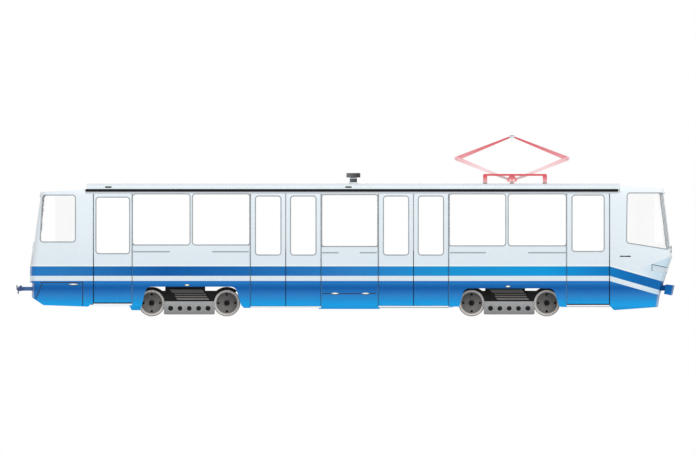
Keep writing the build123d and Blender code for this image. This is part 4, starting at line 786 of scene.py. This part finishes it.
# Wipers: two pressed arms on bosses below the windscreen, each with a rubber blade, painted
# black and laid down on the glass towards the middle.
PIVOT_Y, PIVOT_Z = 0.75, 1.500
ARM_LENGTH, ARM_LEAN, ARM_STEPS = 0.42, 1.30, 5
ARM_OFF, ARM_BOW = 0.006, 0.004
ARM = [(-0.010, -0.003), (-0.006, 0.004), (0.006, 0.004), (0.010, -0.003)]
BLADE_HALF, BLADE_LEAN, BLADE_STEPS, BLADE_OFF = 0.24, 1.46, 6, 0.002
BLADE = [(-0.003, -0.006), (-0.008, 0.004), (-0.004, 0.010), (0.004, 0.010), (0.008, 0.004), (0.003, -0.006)]
BOSS = [(0.0, -0.006), (0.026, -0.006), (0.026, 0.006), (0.020, 0.010), (0.0, 0.012)]
BOSS_STEPS = 14


def nose_point(y, z, out=0.0):
    """A point on the nose's face, or just off it."""
    return end_x("front", y, z) + out, y, z


def points_between(a, b, parts):
    """Points from one (y, z) to another, evenly spaced."""
    return [Vector(a).lerp(Vector(b), k / parts) for k in range(parts + 1)]


wipers = []
for hand in SIDES:
    pivot = (hand * PIVOT_Y, PIVOT_Z)
    tip = (pivot[0] - hand * ARM_LENGTH * sin(ARM_LEAN), PIVOT_Z + ARM_LENGTH * cos(ARM_LEAN))
    across = (0, hand * cos(ARM_LEAN), sin(ARM_LEAN))
    run = [
        nose_point(p.x, p.y, ARM_OFF + ARM_BOW * sin(pi * k / ARM_STEPS))
        for k, p in enumerate(points_between(pivot, tip, ARM_STEPS))
    ]
    wipers.append(sweep([(p, across, (1, 0, 0)) for p in run], ARM))
    reach = (hand * BLADE_HALF * sin(BLADE_LEAN), BLADE_HALF * cos(BLADE_LEAN))
    low, high = (tip[0] + reach[0], tip[1] - reach[1]), (tip[0] - reach[0], tip[1] + reach[1])
    across = (0, hand * cos(BLADE_LEAN), sin(BLADE_LEAN))
    run = [nose_point(p.x, p.y, BLADE_OFF) for p in points_between(low, high, BLADE_STEPS)]
    wipers.append(sweep([(p, across, (1, 0, 0)) for p in run], BLADE))
    angles = [2 * pi * k / BOSS_STEPS for k in range(BOSS_STEPS)]
    boss = [(nose_point(*pivot), (0, cos(angle), sin(angle)), (1, 0, 0)) for angle in angles]
    wipers.append(sweep(boss, BOSS, True))
piece("wipers", wipers, black_enamel, bevel=0.001)

# End hatches and mouldings: a plain flap over the coupling at each end, shown by the rubber
# joint round it, and two pressed mouldings under the rear window.
HATCH_HALF, HATCH_STEPS, HATCH_SIDE_STEPS = 0.40, 8, 3
# Each hatch: the height of its cross joint, and the height where its side joints end
HATCHES = {"front": (1.020, 0.790), "rear": (0.490, 0.740)}
MOULDING_HALF, MOULDING_STEPS = 1.02, 14
MOULDING_Z = (1.600, 1.640)


def end_line(end, a, b, parts, section):
    """A thin strip from one (y, z) to another on an end face."""
    way = 1.0 if end == "front" else -1.0
    along = (Vector(b) - Vector(a)).normalized()
    run = [(end_x(end, p.x, p.y), p.x, p.y) for p in points_between(a, b, parts)]
    return sweep([(p, (0, -along.y, along.x), (way, 0, 0)) for p in run], section)


lines = []
for y in (-HATCH_HALF, HATCH_HALF):
    for end, levels in HATCHES.items():
        low, high = sorted(levels)
        lines.append(end_line(end, (y, low), (y, high), HATCH_SIDE_STEPS, JOINT))
for end, (z, _) in HATCHES.items():
    lines.append(end_line(end, (-HATCH_HALF, z), (HATCH_HALF, z), HATCH_STEPS, JOINT))
piece("end_hatch_joints", lines, joint_blue)
strips = [end_line("rear", (-MOULDING_HALF, z), (MOULDING_HALF, z), MOULDING_STEPS, BEAD) for z in MOULDING_Z]
piece("rear_end_mouldings", strips, enamel, smooth=True)

# Rear coupler: a cast head on a forged shank that is fixed under the floor, with a turned
# release knob on top.
KNOB_PLACE = (-7.575, 0.0, 0.690)
KNOB = [(0.020, -0.004), (0.020, 0.010), (0.026, 0.014), (0.026, 0.024), (0.012, 0.032), (0.004, 0.034)]
NAVY_FADE = [(0.0, "#55638C"), (0.3, "#2F4D80"), (0.5, "#4B70AA"), (1.0, "#5A8DC4")]
# Worn enamel: rough from the casting, and scuffed grey in spots
coupler_blue, tree, shader, patch, fade = shaded(
    "scuffed_navy_enamel", 0, (-7.70, -7.32), NAVY_FADE, 5.0, 0.5, (0.35, 0.6), 60.0)
scuffs = add(tree, "MapRange", {0: patch, 1: 0.62, 2: 0.75})
mix = add(tree, "Mix", {0: scuffs, 6: fade, 7: "#5C6A93"})
fill(shader, {"Base Color": mix})
paint(coupler_blue, "rear_coupler")
piece("coupler_release_knob", [turned(KNOB_PLACE, UP, KNOB, 16)], coupler_blue, bevel=0.001)

# Bogies: frames welded from steel plate round plain motor cases, each on two axles, sprayed
# with black chassis paint.
BOGIE_X = {"rear": -3.644, "front": 3.819}
WHEELBASE = 1.750
SETTLED = 0.5
# Chassis paint: black and greasy, grey where dust lies on upward faces
black_chassis, tree, shader, place = new_material("black_chassis_paint", {"Specular IOR Level": 0.2})
patch = surface(tree, shader, place, 4.0, 0.6, (0.42, 0.7), 180.0)
facing = add(tree, "SeparateXYZ", {0: add(tree, "NewGeometry").outputs["Normal"]})
settled = add(tree, "MapRange", {0: facing.outputs[2], 1: 0.4, 2: 1.0, 3: 0.0, 4: SETTLED})
dusty = add(tree, "Math", {0: settled, 1: patch}, "MULTIPLY")
ramp = add(tree, "ValToRGB", {0: patch}, stops=[(0.3, "#0C0B0A"), (0.75, "#1A1816")])
mix = add(tree, "Mix", {0: dusty, 6: ramp, 7: "#6F6A62"})
fill(shader, {"Base Color": mix})
for end in BOGIE_X:
    paint(black_chassis, f"bogie_{end}_frame", f"bogie_{end}_motors")

# Spring leaves and equalising beams: rolled plate. The beams have end pads welded on, round
# black rubber buffers pressed into their holes, and a bolt at each end.
BEAM_OUT, BEAM_MID, BEAM_HALF = 0.930, 0.900, 0.567
BEAM_Z = (0.049, 0.340)
HOLE_PITCH, HOLE_Z, HOLE_R = 0.218, 0.184, 0.060
HOLES = (-2, -1, 0, 1, 2)
BOLT_IN, BOLT_Z = 0.030, 0.310
PAD = [(-0.002, -0.029), (0.022, -0.029), (0.026, -0.025), (0.026, 0.025), (0.022, 0.029), (-0.002, 0.029)]
BUFFER = [
    (0.0, -0.020), (HOLE_R - 0.001, -0.020), (HOLE_R - 0.001, -0.006), (HOLE_R - 0.010, -0.009),
    (0.026, -0.014), (0.020, -0.008), (0.0, -0.007),
]
BOLT = [(0.020, -0.003), (0.020, 0.003), (0.014, 0.004), (0.014, 0.013), (0.006, 0.015)]
GREY_PLATE_PAINTED_SHADE = [(0.0, "#8D8D8D"), (0.6, "#A3A3A3"), (1.0, "#B9B9B9")]
STEEL_FADE = [(0.0, "#807D7A"), (1.0, "#5D5A58")]
# Grey enamel: dull and blotched, darker towards the foot in painted shade
grey_plate, tree, shader, patch, fade = shaded(
    "grey_enamelled_plate", 2, (0.045, 0.345), GREY_PLATE_PAINTED_SHADE, 5.0, 0.4, (0.35, 0.55), 160.0)
mix = add(tree, "Mix", {0: 0.25, 6: fade, 7: patch}, {"blend_type": "MULTIPLY"})
fill(shader, {"Base Color": mix})
# Oiled spring steel: brown-grey, darker and shinier in patches
leaf_steel, tree, shader, patch, fade = shaded(
    "oiled_spring_steel", 2, (0.38, 0.63), STEEL_FADE, 3.0, 0.2, (0.35, 0.55), 120.0)
mix = add(tree, "Mix", {0: 0.3, 6: fade, 7: patch}, {"blend_type": "MULTIPLY"})
fill(shader, {"Base Color": mix})
for end, bogie_x in BOGIE_X.items():
    paint(grey_plate, f"bogie_{end}_beams")
    paint(leaf_steel, f"bogie_{end}_springs")
    buffers, bolts, pads = [], [], []
    for side in SIDES:
        out = (0, side, 0)
        for i in HOLES:
            buffers.append(turned((bogie_x + i * HOLE_PITCH, side * BEAM_OUT, HOLE_Z), out, BUFFER, 20))
        for way in SIDES:
            bolt_x, edge = bogie_x + way * (BEAM_HALF - BOLT_IN), bogie_x + way * BEAM_HALF
            bolts.append(turned((bolt_x, side * BEAM_OUT, BOLT_Z), out, BOLT, 6))
            ends = [(edge, side * BEAM_MID, z) for z in BEAM_Z]
            pads.append(bar(*ends, (way, 0, 0), out, PAD))
    piece(f"bogie_{end}_beam_pads", pads, grey_plate, f"bogie_{end}")
    piece(f"bogie_{end}_buffers", buffers, seal_black, f"bogie_{end}", smooth=True)
    piece(f"bogie_{end}_beam_bolts", bolts, grey_plate, f"bogie_{end}")

# Wheels: rolled steel discs with tyres shrunk on. A domed cap covers each axle end, with four
# clamp bolts round it.
AXLE_Z = 0.313
WHEEL_EDGE = 0.330
TREAD_GREYS = [
    (0.0, "#2B2928"), (0.060, "#6B6866"), (0.150, "#65625F"), (0.225, "#5B5856"), (0.238, "#45423F"),
    (0.250, "#BDB7B2"), (0.270, "#E9E4E0"), (0.296, "#DAD5D0"), (0.305, "#8D8884"),
]
DISC_FACE, AXLE_END = 0.816, 0.870
CAP = [(0.0, 0.0), (0.062, 0.0), (0.062, 0.012), (0.052, 0.020), (0.032, 0.026), (0.0, 0.028)]
NUT = [
    (0.0, -0.003), (0.030, -0.003), (0.030, 0.005), (0.021, 0.006), (0.021, 0.020), (0.012, 0.024),
    (0.0, 0.024),
]
NUTS, NUT_R = 4, 0.195


def wheel_steel(name, wheel_x):
    """Rolled steel round an axle: the tyre's side is bright, the disc dark with brake dust, and
    both are a little paler towards the foot, a painted shade that darkens their upper part."""
    material, tree, shader, place = new_material(name, {"Metallic": 0.35})
    surface(tree, shader, place, 2.5, 0.3, (0.38, 0.6), 90.0)
    axes = add(tree, "SeparateXYZ", {0: place})
    from_x = add(tree, "Math", {0: axes.outputs[0], 1: wheel_x}, "SUBTRACT")
    from_z = add(tree, "Math", {0: axes.outputs[2], 1: AXLE_Z}, "SUBTRACT")
    flat = add(tree, "CombineXYZ", {0: from_x, 1: from_z})
    radius = add(tree, "VectorMath", {0: flat}, "LENGTH")
    share = add(tree, "Math", {0: radius.outputs["Value"], 1: WHEEL_EDGE}, "DIVIDE")
    ramp = add(tree, "ValToRGB", {0: share}, stops=[(r / WHEEL_EDGE, c) for r, c in TREAD_GREYS])
    # Paler towards the foot: a painted shade, darker up under the body
    turn = add(tree, "Math", {0: from_z, 1: from_x}, "ARCTAN2")
    half_turn = add(tree, "Math", {0: turn}, "SINE")
    foot_paler_painted_shade = add(tree, "MapRange", {0: half_turn, 1: 1.0, 2: -1.0, 3: 0.0, 4: 0.22})
    mix = add(tree, "Mix", {0: foot_paler_painted_shade, 6: ramp, 7: "#A8A29D"})
    fill(shader, {"Base Color": mix})
    return material


for end, bogie_x in BOGIE_X.items():
    for tag, way in (("a", -1), ("b", 1)):
        wheel_x = bogie_x + way * WHEELBASE / 2
        paint(wheel_steel(f"rolled_wheel_steel_{end}_{tag}", wheel_x), f"bogie_{end}_wheelset_{tag}")
        fittings = []
        for side in SIDES:
            out = (0, side, 0)
            fittings.append(turned((wheel_x, side * AXLE_END, AXLE_Z), out, CAP, 20))
            for angle in [2 * pi * k / NUTS for k in range(NUTS)]:
                x, z = wheel_x + NUT_R * cos(angle), AXLE_Z + NUT_R * sin(angle)
                fittings.append(turned((x, side * DISC_FACE, z), out, NUT, 6))
        name, body = f"bogie_{end}_wheel_{tag}_fittings", f"bogie_{end}_wheels_{tag}"
        piece(name, fittings, black_enamel, body, bevel=0.001)

# Underframe: pressed sills and cross members, welded up, with sheet-steel cases hung below.
# The cases have louvred lids, held by turning latches.
# Each case: its rear end, its front end, its side and its foot
CASES = [
    (-0.420, 0.600, -1, 0.330), (-2.100, -0.700, 1, 0.300), (-0.400, 0.700, 1, 0.280),
    (1.000, 2.300, 1, 0.300), (-5.860, -5.150, 1, 0.330),
]
CASE_FACE = 1.170
SLAT = [(-0.010, -0.002), (-0.010, 0.008), (0.004, 0.002), (0.004, -0.002)]
LID_SLATS, SLAT_IN, SLAT_UP, SLAT_PITCH = 5, 0.10, 0.110, 0.035
LATCH = [(0.018, -0.002), (0.018, 0.004), (0.010, 0.006), (0.010, 0.014), (0.004, 0.016)]
LATCH_IN, LATCH_UP = 0.05, 0.180
# Grey chassis paint: dark, dry and dusty
grey_chassis = two_tone("dark_grey_chassis_paint", ("#2A2D30", "#3A3D40"), 5.0, 0.5, (0.5, 0.75), 300.0)
paint(grey_chassis, "sills", "cross_members", "bolsters", "underfloor_cases")
slats, latches = [], []
for x0, x1, side, low in CASES:
    y, out = side * CASE_FACE, (0, side, 0)
    for i in range(LID_SLATS):
        z = low + SLAT_UP + SLAT_PITCH * i
        slats.append(bar((x0 + SLAT_IN, y, z), (x1 - SLAT_IN, y, z), UP, out, SLAT))
    for x in (x0 + LATCH_IN, x1 - LATCH_IN):
        latches.append(turned((x, y, low + LATCH_UP), out, LATCH, 8))
piece("case_louvres", slats, grey_chassis)
piece("case_latches", latches, anodised)

# Floor and step wells: studded rubber glued to plate. The fascia at the outer edge of each
# well is pale, and a white rubber guard is screwed across the foot of the rear doorway.
RUBBER = [(0.3, "#6C7276"), (0.7, "#7D8387")]
FASCIA_Y = (-1.200, -1.195)
GUARD_X = (-5.884, -5.020)
GUARD_Y, GUARD_Z = -1.243, 0.262
GUARD = [(-0.040, -0.004), (-0.040, 0.002), (-0.036, 0.004), (0.0, 0.004), (0.004, 0.0), (0.0, -0.004)]
# Studded rubber: matt grey, with low round studs 28 mm apart
studded, tree, shader, place = new_material("studded_rubber_flooring")
patch = surface(tree, shader, place, 3.0, 0.2, (0.6, 0.8), 350.0)
studs = add(tree, "TexVoronoi", {"Vector": place, "Scale": 1000 / 28, "Randomness": 0.0}, {"feature": "F1"})
raised = add(tree, "MapRange", {0: studs, 1: 0.28, 2: 0.36, 3: 1.0, 4: 0.0})
bump = add(tree, "Bump", {"Height": raised, "Strength": 0.6, "Distance": 0.002})
ramp = add(tree, "ValToRGB", {0: patch}, stops=RUBBER)
fill(shader, {"Normal": bump, "Base Color": ramp})
paint(studded, "floor")
# Tread rubber: the same matt grey inside, and nearly white on the fascia
tread_rubber, tree, shader, place = new_material("studded_rubber_tread_with_pale_edge")
patch = surface(tree, shader, place, 3.0, 0.2, (0.6, 0.8), 350.0)
axes = add(tree, "SeparateXYZ", {0: place})
inner = add(tree, "MapRange", {0: axes.outputs[1], 1: FASCIA_Y[0], 2: FASCIA_Y[1]})
ramp = add(tree, "ValToRGB", {0: patch}, stops=RUBBER)
mix = add(tree, "Mix", {0: inner, 6: "#EFF3F5", 7: ramp})
fill(shader, {"Base Color": mix})
paint(tread_rubber, "step_wells")
# White rubber: clean and matt
guard_white = two_tone("white_rubber_step_guard", ("#F2F4F5", "#FAFBFB"), 2.0, 0.1, (0.5, 0.7))
guard = bar((GUARD_X[0], GUARD_Y, GUARD_Z), (GUARD_X[1], GUARD_Y, GUARD_Z), UP, (0, -1, 0), GUARD)
piece("rear_step_guard", [guard], guard_white)

# Cabin: moulded seat shells on steel stems, a console and partition of glass fibre, and grab
# poles and door arms of stainless tube, all screwed to the floor and walls.
# Moulded polypropylene: an even blue with a fine grain and a soft shine
paint(two_tone("moulded_polypropylene_seat", ("#2A5FA8", "#336BB5"), 1.5, 0.12, (0.38, 0.52)), "seats")
# Glass fibre: pale grey with a moulded grain
panel_grey = two_tone("grained_glass_fibre_panel", ("#C3C8CC", "#D0D5D9"), 2.5, 0.2, (0.45, 0.6))
paint(panel_grey, "cab_console", "cab_partition")
# Brushed stainless: silver, with fine lines along the upright tubes
brushed = brushed_metal(
    "brushed_stainless_tube", (900.0, 900.0, 8.0), ("#B9BCBE", "#CDD0D2"), (0.22, 0.4), 1.0)
paint(brushed, "grab_rails", *[f"door_{door}_post" for door in DOORS])

# Instruments: a round speed dial in a turned black case and two groups of four moulded push
# buttons, let into the sloping face of the cab console.
DESK_X, DESK_Z = 7.160, 1.480
DESK_OUT = Vector((-0.894, 0, 0.447))
DIAL_CASE = [
    (0.0, -0.004), (0.070, -0.004), (0.070, 0.010), (0.060, 0.010), (0.060, 0.004), (0.0, 0.004),
]
DIAL = [(0.0, 0.003), (0.058, 0.003), (0.058, 0.005), (0.0, 0.005)]
BUTTON = [(0.0, -0.004), (0.016, -0.004), (0.016, 0.004), (0.011, 0.005), (0.011, 0.012), (0.0, 0.014)]
BUTTONS, FIRST_BUTTON, BUTTON_PITCH, BUTTON_GAP = 8, -0.44, 0.105, 0.10
# Dial enamel: smooth and off-white, with a low sheen
dial_white = two_tone("white_dial_enamel", ("#ECECE6", "#F4F4F0"), 2.0, 0.05, (0.3, 0.4))
middle = (DESK_X, 0.0, DESK_Z)
piece("speed_dial_case", [turned(middle, DESK_OUT, DIAL_CASE, 28)], black_enamel)
piece("speed_dial_face", [turned(middle, DESK_OUT, DIAL, 28)], dial_white)
buttons = []
for i in range(BUTTONS):
    y = FIRST_BUTTON + BUTTON_PITCH * i + (BUTTON_GAP if i >= BUTTONS / 2 else 0.0)
    buttons.append(turned((DESK_X, y, DESK_Z), DESK_OUT, BUTTON, 14))
piece("console_buttons", buttons, seal_black)

# Current collector: a folding frame of tapered plates and tubes on pins, enamelled red, with
# domed caps on its knee pins and an aluminium head that carries the carbon strip.
PAN_X, KNEE_OUT, KNEE_SIDE = 3.884, 1.290, 0.349
BASE_Z, KNEE_Z, HEAD_Z = 3.175, 3.679, 4.183
BASE_REACH = (3.137, 3.322)
KNEE_LAP = 0.05
STRIP_Z = HEAD_Z + 0.030
PIN_CAP = [(0.0, -0.002), (0.024, -0.002), (0.024, 0.006), (0.016, 0.012), (0.0, 0.013)]
CHALK = 0.14


def graded_red(name, reach, stops):
    """Red enamel that runs from pale to red between two heights, under a thin chalky bloom."""
    material, tree, shader, patch, fade = shaded(name, 2, reach, stops, 5.0, 0.25, (0.3, 0.5), 120.0)
    chalk = add(tree, "Math", {0: patch, 1: CHALK}, "MULTIPLY")
    mix = add(tree, "Mix", {0: chalk, 6: fade, 7: "#F2D5D6"})
    fill(shader, {"Base Color": mix})
    return material


# Red enamel: nearly white at the lower arms' feet, pink at the knees, and red at the head and base
lower_red = graded_red(
    "pale_to_red_enamel", (BASE_Z, KNEE_Z + KNEE_LAP),
    [(0.0, "#FBF3F3"), (0.45, "#F6DEDF"), (1.0, "#ECA9AE")])
upper_red = graded_red(
    "pink_to_red_enamel", (KNEE_Z - KNEE_LAP, HEAD_Z),
    [(0.0, "#EBA3A8"), (0.25, "#E2868D"), (0.75, "#D64C57"), (1.0, "#D23E4A")])
base_red = graded_red(
    "red_enamel", BASE_REACH, [(0.0, "#EBA7AA"), (0.35, "#E07B81"), (0.75, "#D4333D"), (1.0, "#DA3A44")])
paint(base_red, "pantograph_base")
# Head: pale aluminium tube, dull grey on the worn carbon strip above it
head_alloy, tree, shader, place = new_material("aluminium_head_with_carbon_strip")
patch = surface(tree, shader, place, 1.5, 0.1, (0.35, 0.55), 40.0)
axes = add(tree, "SeparateXYZ", {0: place})
tube = add(tree, "ValToRGB", {0: patch}, stops=[(0.3, "#DFE3E5"), (0.7, "#ECEEEF")])
strip = add(tree, "Math", {0: axes.outputs[2], 1: STRIP_Z}, "GREATER_THAN")
mix = add(tree, "Mix", {0: strip, 6: tube, 7: "#58585B"})
fill(shader, {"Base Color": mix})
paint(head_alloy, "pantograph_head")
for name, way in (("front", 1), ("rear", -1)):
    body, knee_x = f"pantograph_lower_{name}", PAN_X + way * KNEE_OUT
    paint(lower_red, body)
    paint(upper_red, f"pantograph_upper_{name}")
    caps = [turned((knee_x, side * KNEE_SIDE, KNEE_Z), (0, side, 0), PIN_CAP, 14) for side in SIDES]
    piece(f"{body}_pin_caps", caps, lower_red, body, bevel=0.001)

# Insulators: stoneware posts, turned, glazed and fired, that hold the current collector's
# base off the roof.
# Glaze: a clear wet shine over reddish clay that dust has made pale
paint(two_tone("brown_glazed_stoneware", ("#C9A9A0", "#D6B8AE"), 8.0, 0.1, (0.12, 0.22), 50.0), "insulators")

# Roof ventilator: a spun steel cap over a drum, in enamel, with ribs round its rim, a pale
# collar below it and a flange riveted to the roof.
VENT_X, RIM_R = 0.184, 0.160
COLLAR_Z, FLANGE_Z = 3.206, 3.094
COLLAR = [(0.078, 0.0), (0.087, 0.0), (0.087, 0.030), (0.078, 0.030)]
FLANGE = [(0.080, 0.0), (0.112, 0.0), (0.112, 0.010), (0.094, 0.034), (0.080, 0.034)]
RIBS = 24
RIB_Z = (3.252, 3.330)
RIB = [(-0.004, -0.003), (-0.003, 0.003), (0.003, 0.003), (0.004, -0.003)]
VENT_PAINTED_SHADE = [(0.0, "#77787A"), (0.5, "#47484A"), (1.0, "#19191B")]
# Vent enamel: satin, mid grey at the rear and nearly black at the front, a painted shade across the round
# drum
vent_grey = shaded("dark_grey_vent_enamel", 0, (0.03, 0.34), VENT_PAINTED_SHADE, 3.0, 0.2, (0.4, 0.6), 90.0)[0]
paint(vent_grey, "roof_vent")
# Drawn aluminium: pale silver with a soft shine
tube_alloy = two_tone(
    "drawn_aluminium_tube", ("#D6DADC", "#E4E7E9"), 1.5, 0.05, (0.3, 0.45), 50.0, {"Metallic": 0.3})
piece("vent_collar", [turned((VENT_X, 0, COLLAR_Z), UP, COLLAR, 32)], tube_alloy)
piece("vent_flange", [turned((VENT_X, 0, FLANGE_Z), UP, FLANGE, 32)], roof_enamel, bevel=0.001)
ribs = []
for angle in [2 * pi * k / RIBS for k in range(RIBS)]:
    out = Vector((cos(angle), sin(angle), 0))
    ends = [Vector((VENT_X, 0, z)) + out * RIM_R for z in RIB_Z]
    ribs.append(bar(*ends, (-out.y, out.x, 0), out, RIB))
piece("vent_ribs", ribs, vent_grey)

# Studio: a pale seamless floor, a soft sky, one broad sun from the door side, and a long
# view square to the side of the car. The pale backdrop shows to the camera and in glass.
PIXEL = 0.02333
WIDE, TALL = 696, 456
ORIGIN_PIXEL = (345.5, 316.3)
CENTRE_X, CENTRE_Z = (WIDE / 2 - ORIGIN_PIXEL[0]) * PIXEL, (ORIGIN_PIXEL[1] - TALL / 2) * PIXEL
FLOOR = 60.0
SKY = 0.72
SUN, SUN_WIDTH = 1.15, 35
SUN_FROM = Vector((0.35, -1.0, 0.75))
CAMERA_Y = -40.0
# Seamless floor: pale and matt, faintly uneven
floor_pale, tree, shader, place = new_material("pale_studio_floor")
patch = surface(tree, shader, place, 40.0, 0.2, (0.75, 0.9), 3000.0)
ramp = add(tree, "ValToRGB", {0: patch}, stops=[(0.0, "#EEF0F1"), (1.0, "#F6F7F8")])
fill(shader, {"Base Color": ramp})
mesh = bpy.data.meshes.new("studio_floor")
floor_corners = [(*corner, 0) for corner in pane_corners(-FLOOR, FLOOR, -FLOOR, FLOOR)]
mesh.from_pydata(floor_corners, [], [(0, 1, 2, 3)])
mesh.materials.append(floor_pale)
shown("studio_floor", mesh)
world = bpy.data.worlds.new("studio")
world.use_nodes = True
bpy.context.scene.world = world
tree = world.node_tree
tree.nodes.clear()
path = add(tree, "LightPath")
direct = {0: path.outputs["Is Camera Ray"], 1: path.outputs["Is Glossy Ray"]}
seen = add(tree, "Math", direct, "MAXIMUM")
seen = add(tree, "Math", {0: seen, 1: path.outputs["Is Transmission Ray"]}, "MAXIMUM")
soft = add(tree, "Background", {0: "#FFFFFF", 1: SKY})
white = add(tree, "Background", {0: "#FFFFFF", 1: 1.0})
mix = add(tree, "MixShader", {0: seen, 1: soft, 2: white})
add(tree, "OutputWorld", {0: mix})
sun = bpy.data.lights.new("softbox_sun", "SUN")
sun.energy = SUN
sun.angle = radians(SUN_WIDTH)
shown("softbox_sun", sun).rotation_euler = SUN_FROM.to_track_quat("Z", "Y").to_euler()
camera = bpy.data.cameras.new("side_camera")
camera.type = "ORTHO"
camera.ortho_scale = WIDE * PIXEL
camera.clip_end = 200.0
viewer = shown("side_camera", camera)
viewer.location = (CENTRE_X, CAMERA_Y, CENTRE_Z)
viewer.rotation_euler = (radians(90), 0, 0)
bpy.context.scene.camera = viewer
bpy.context.scene.view_settings.view_transform = "Standard"
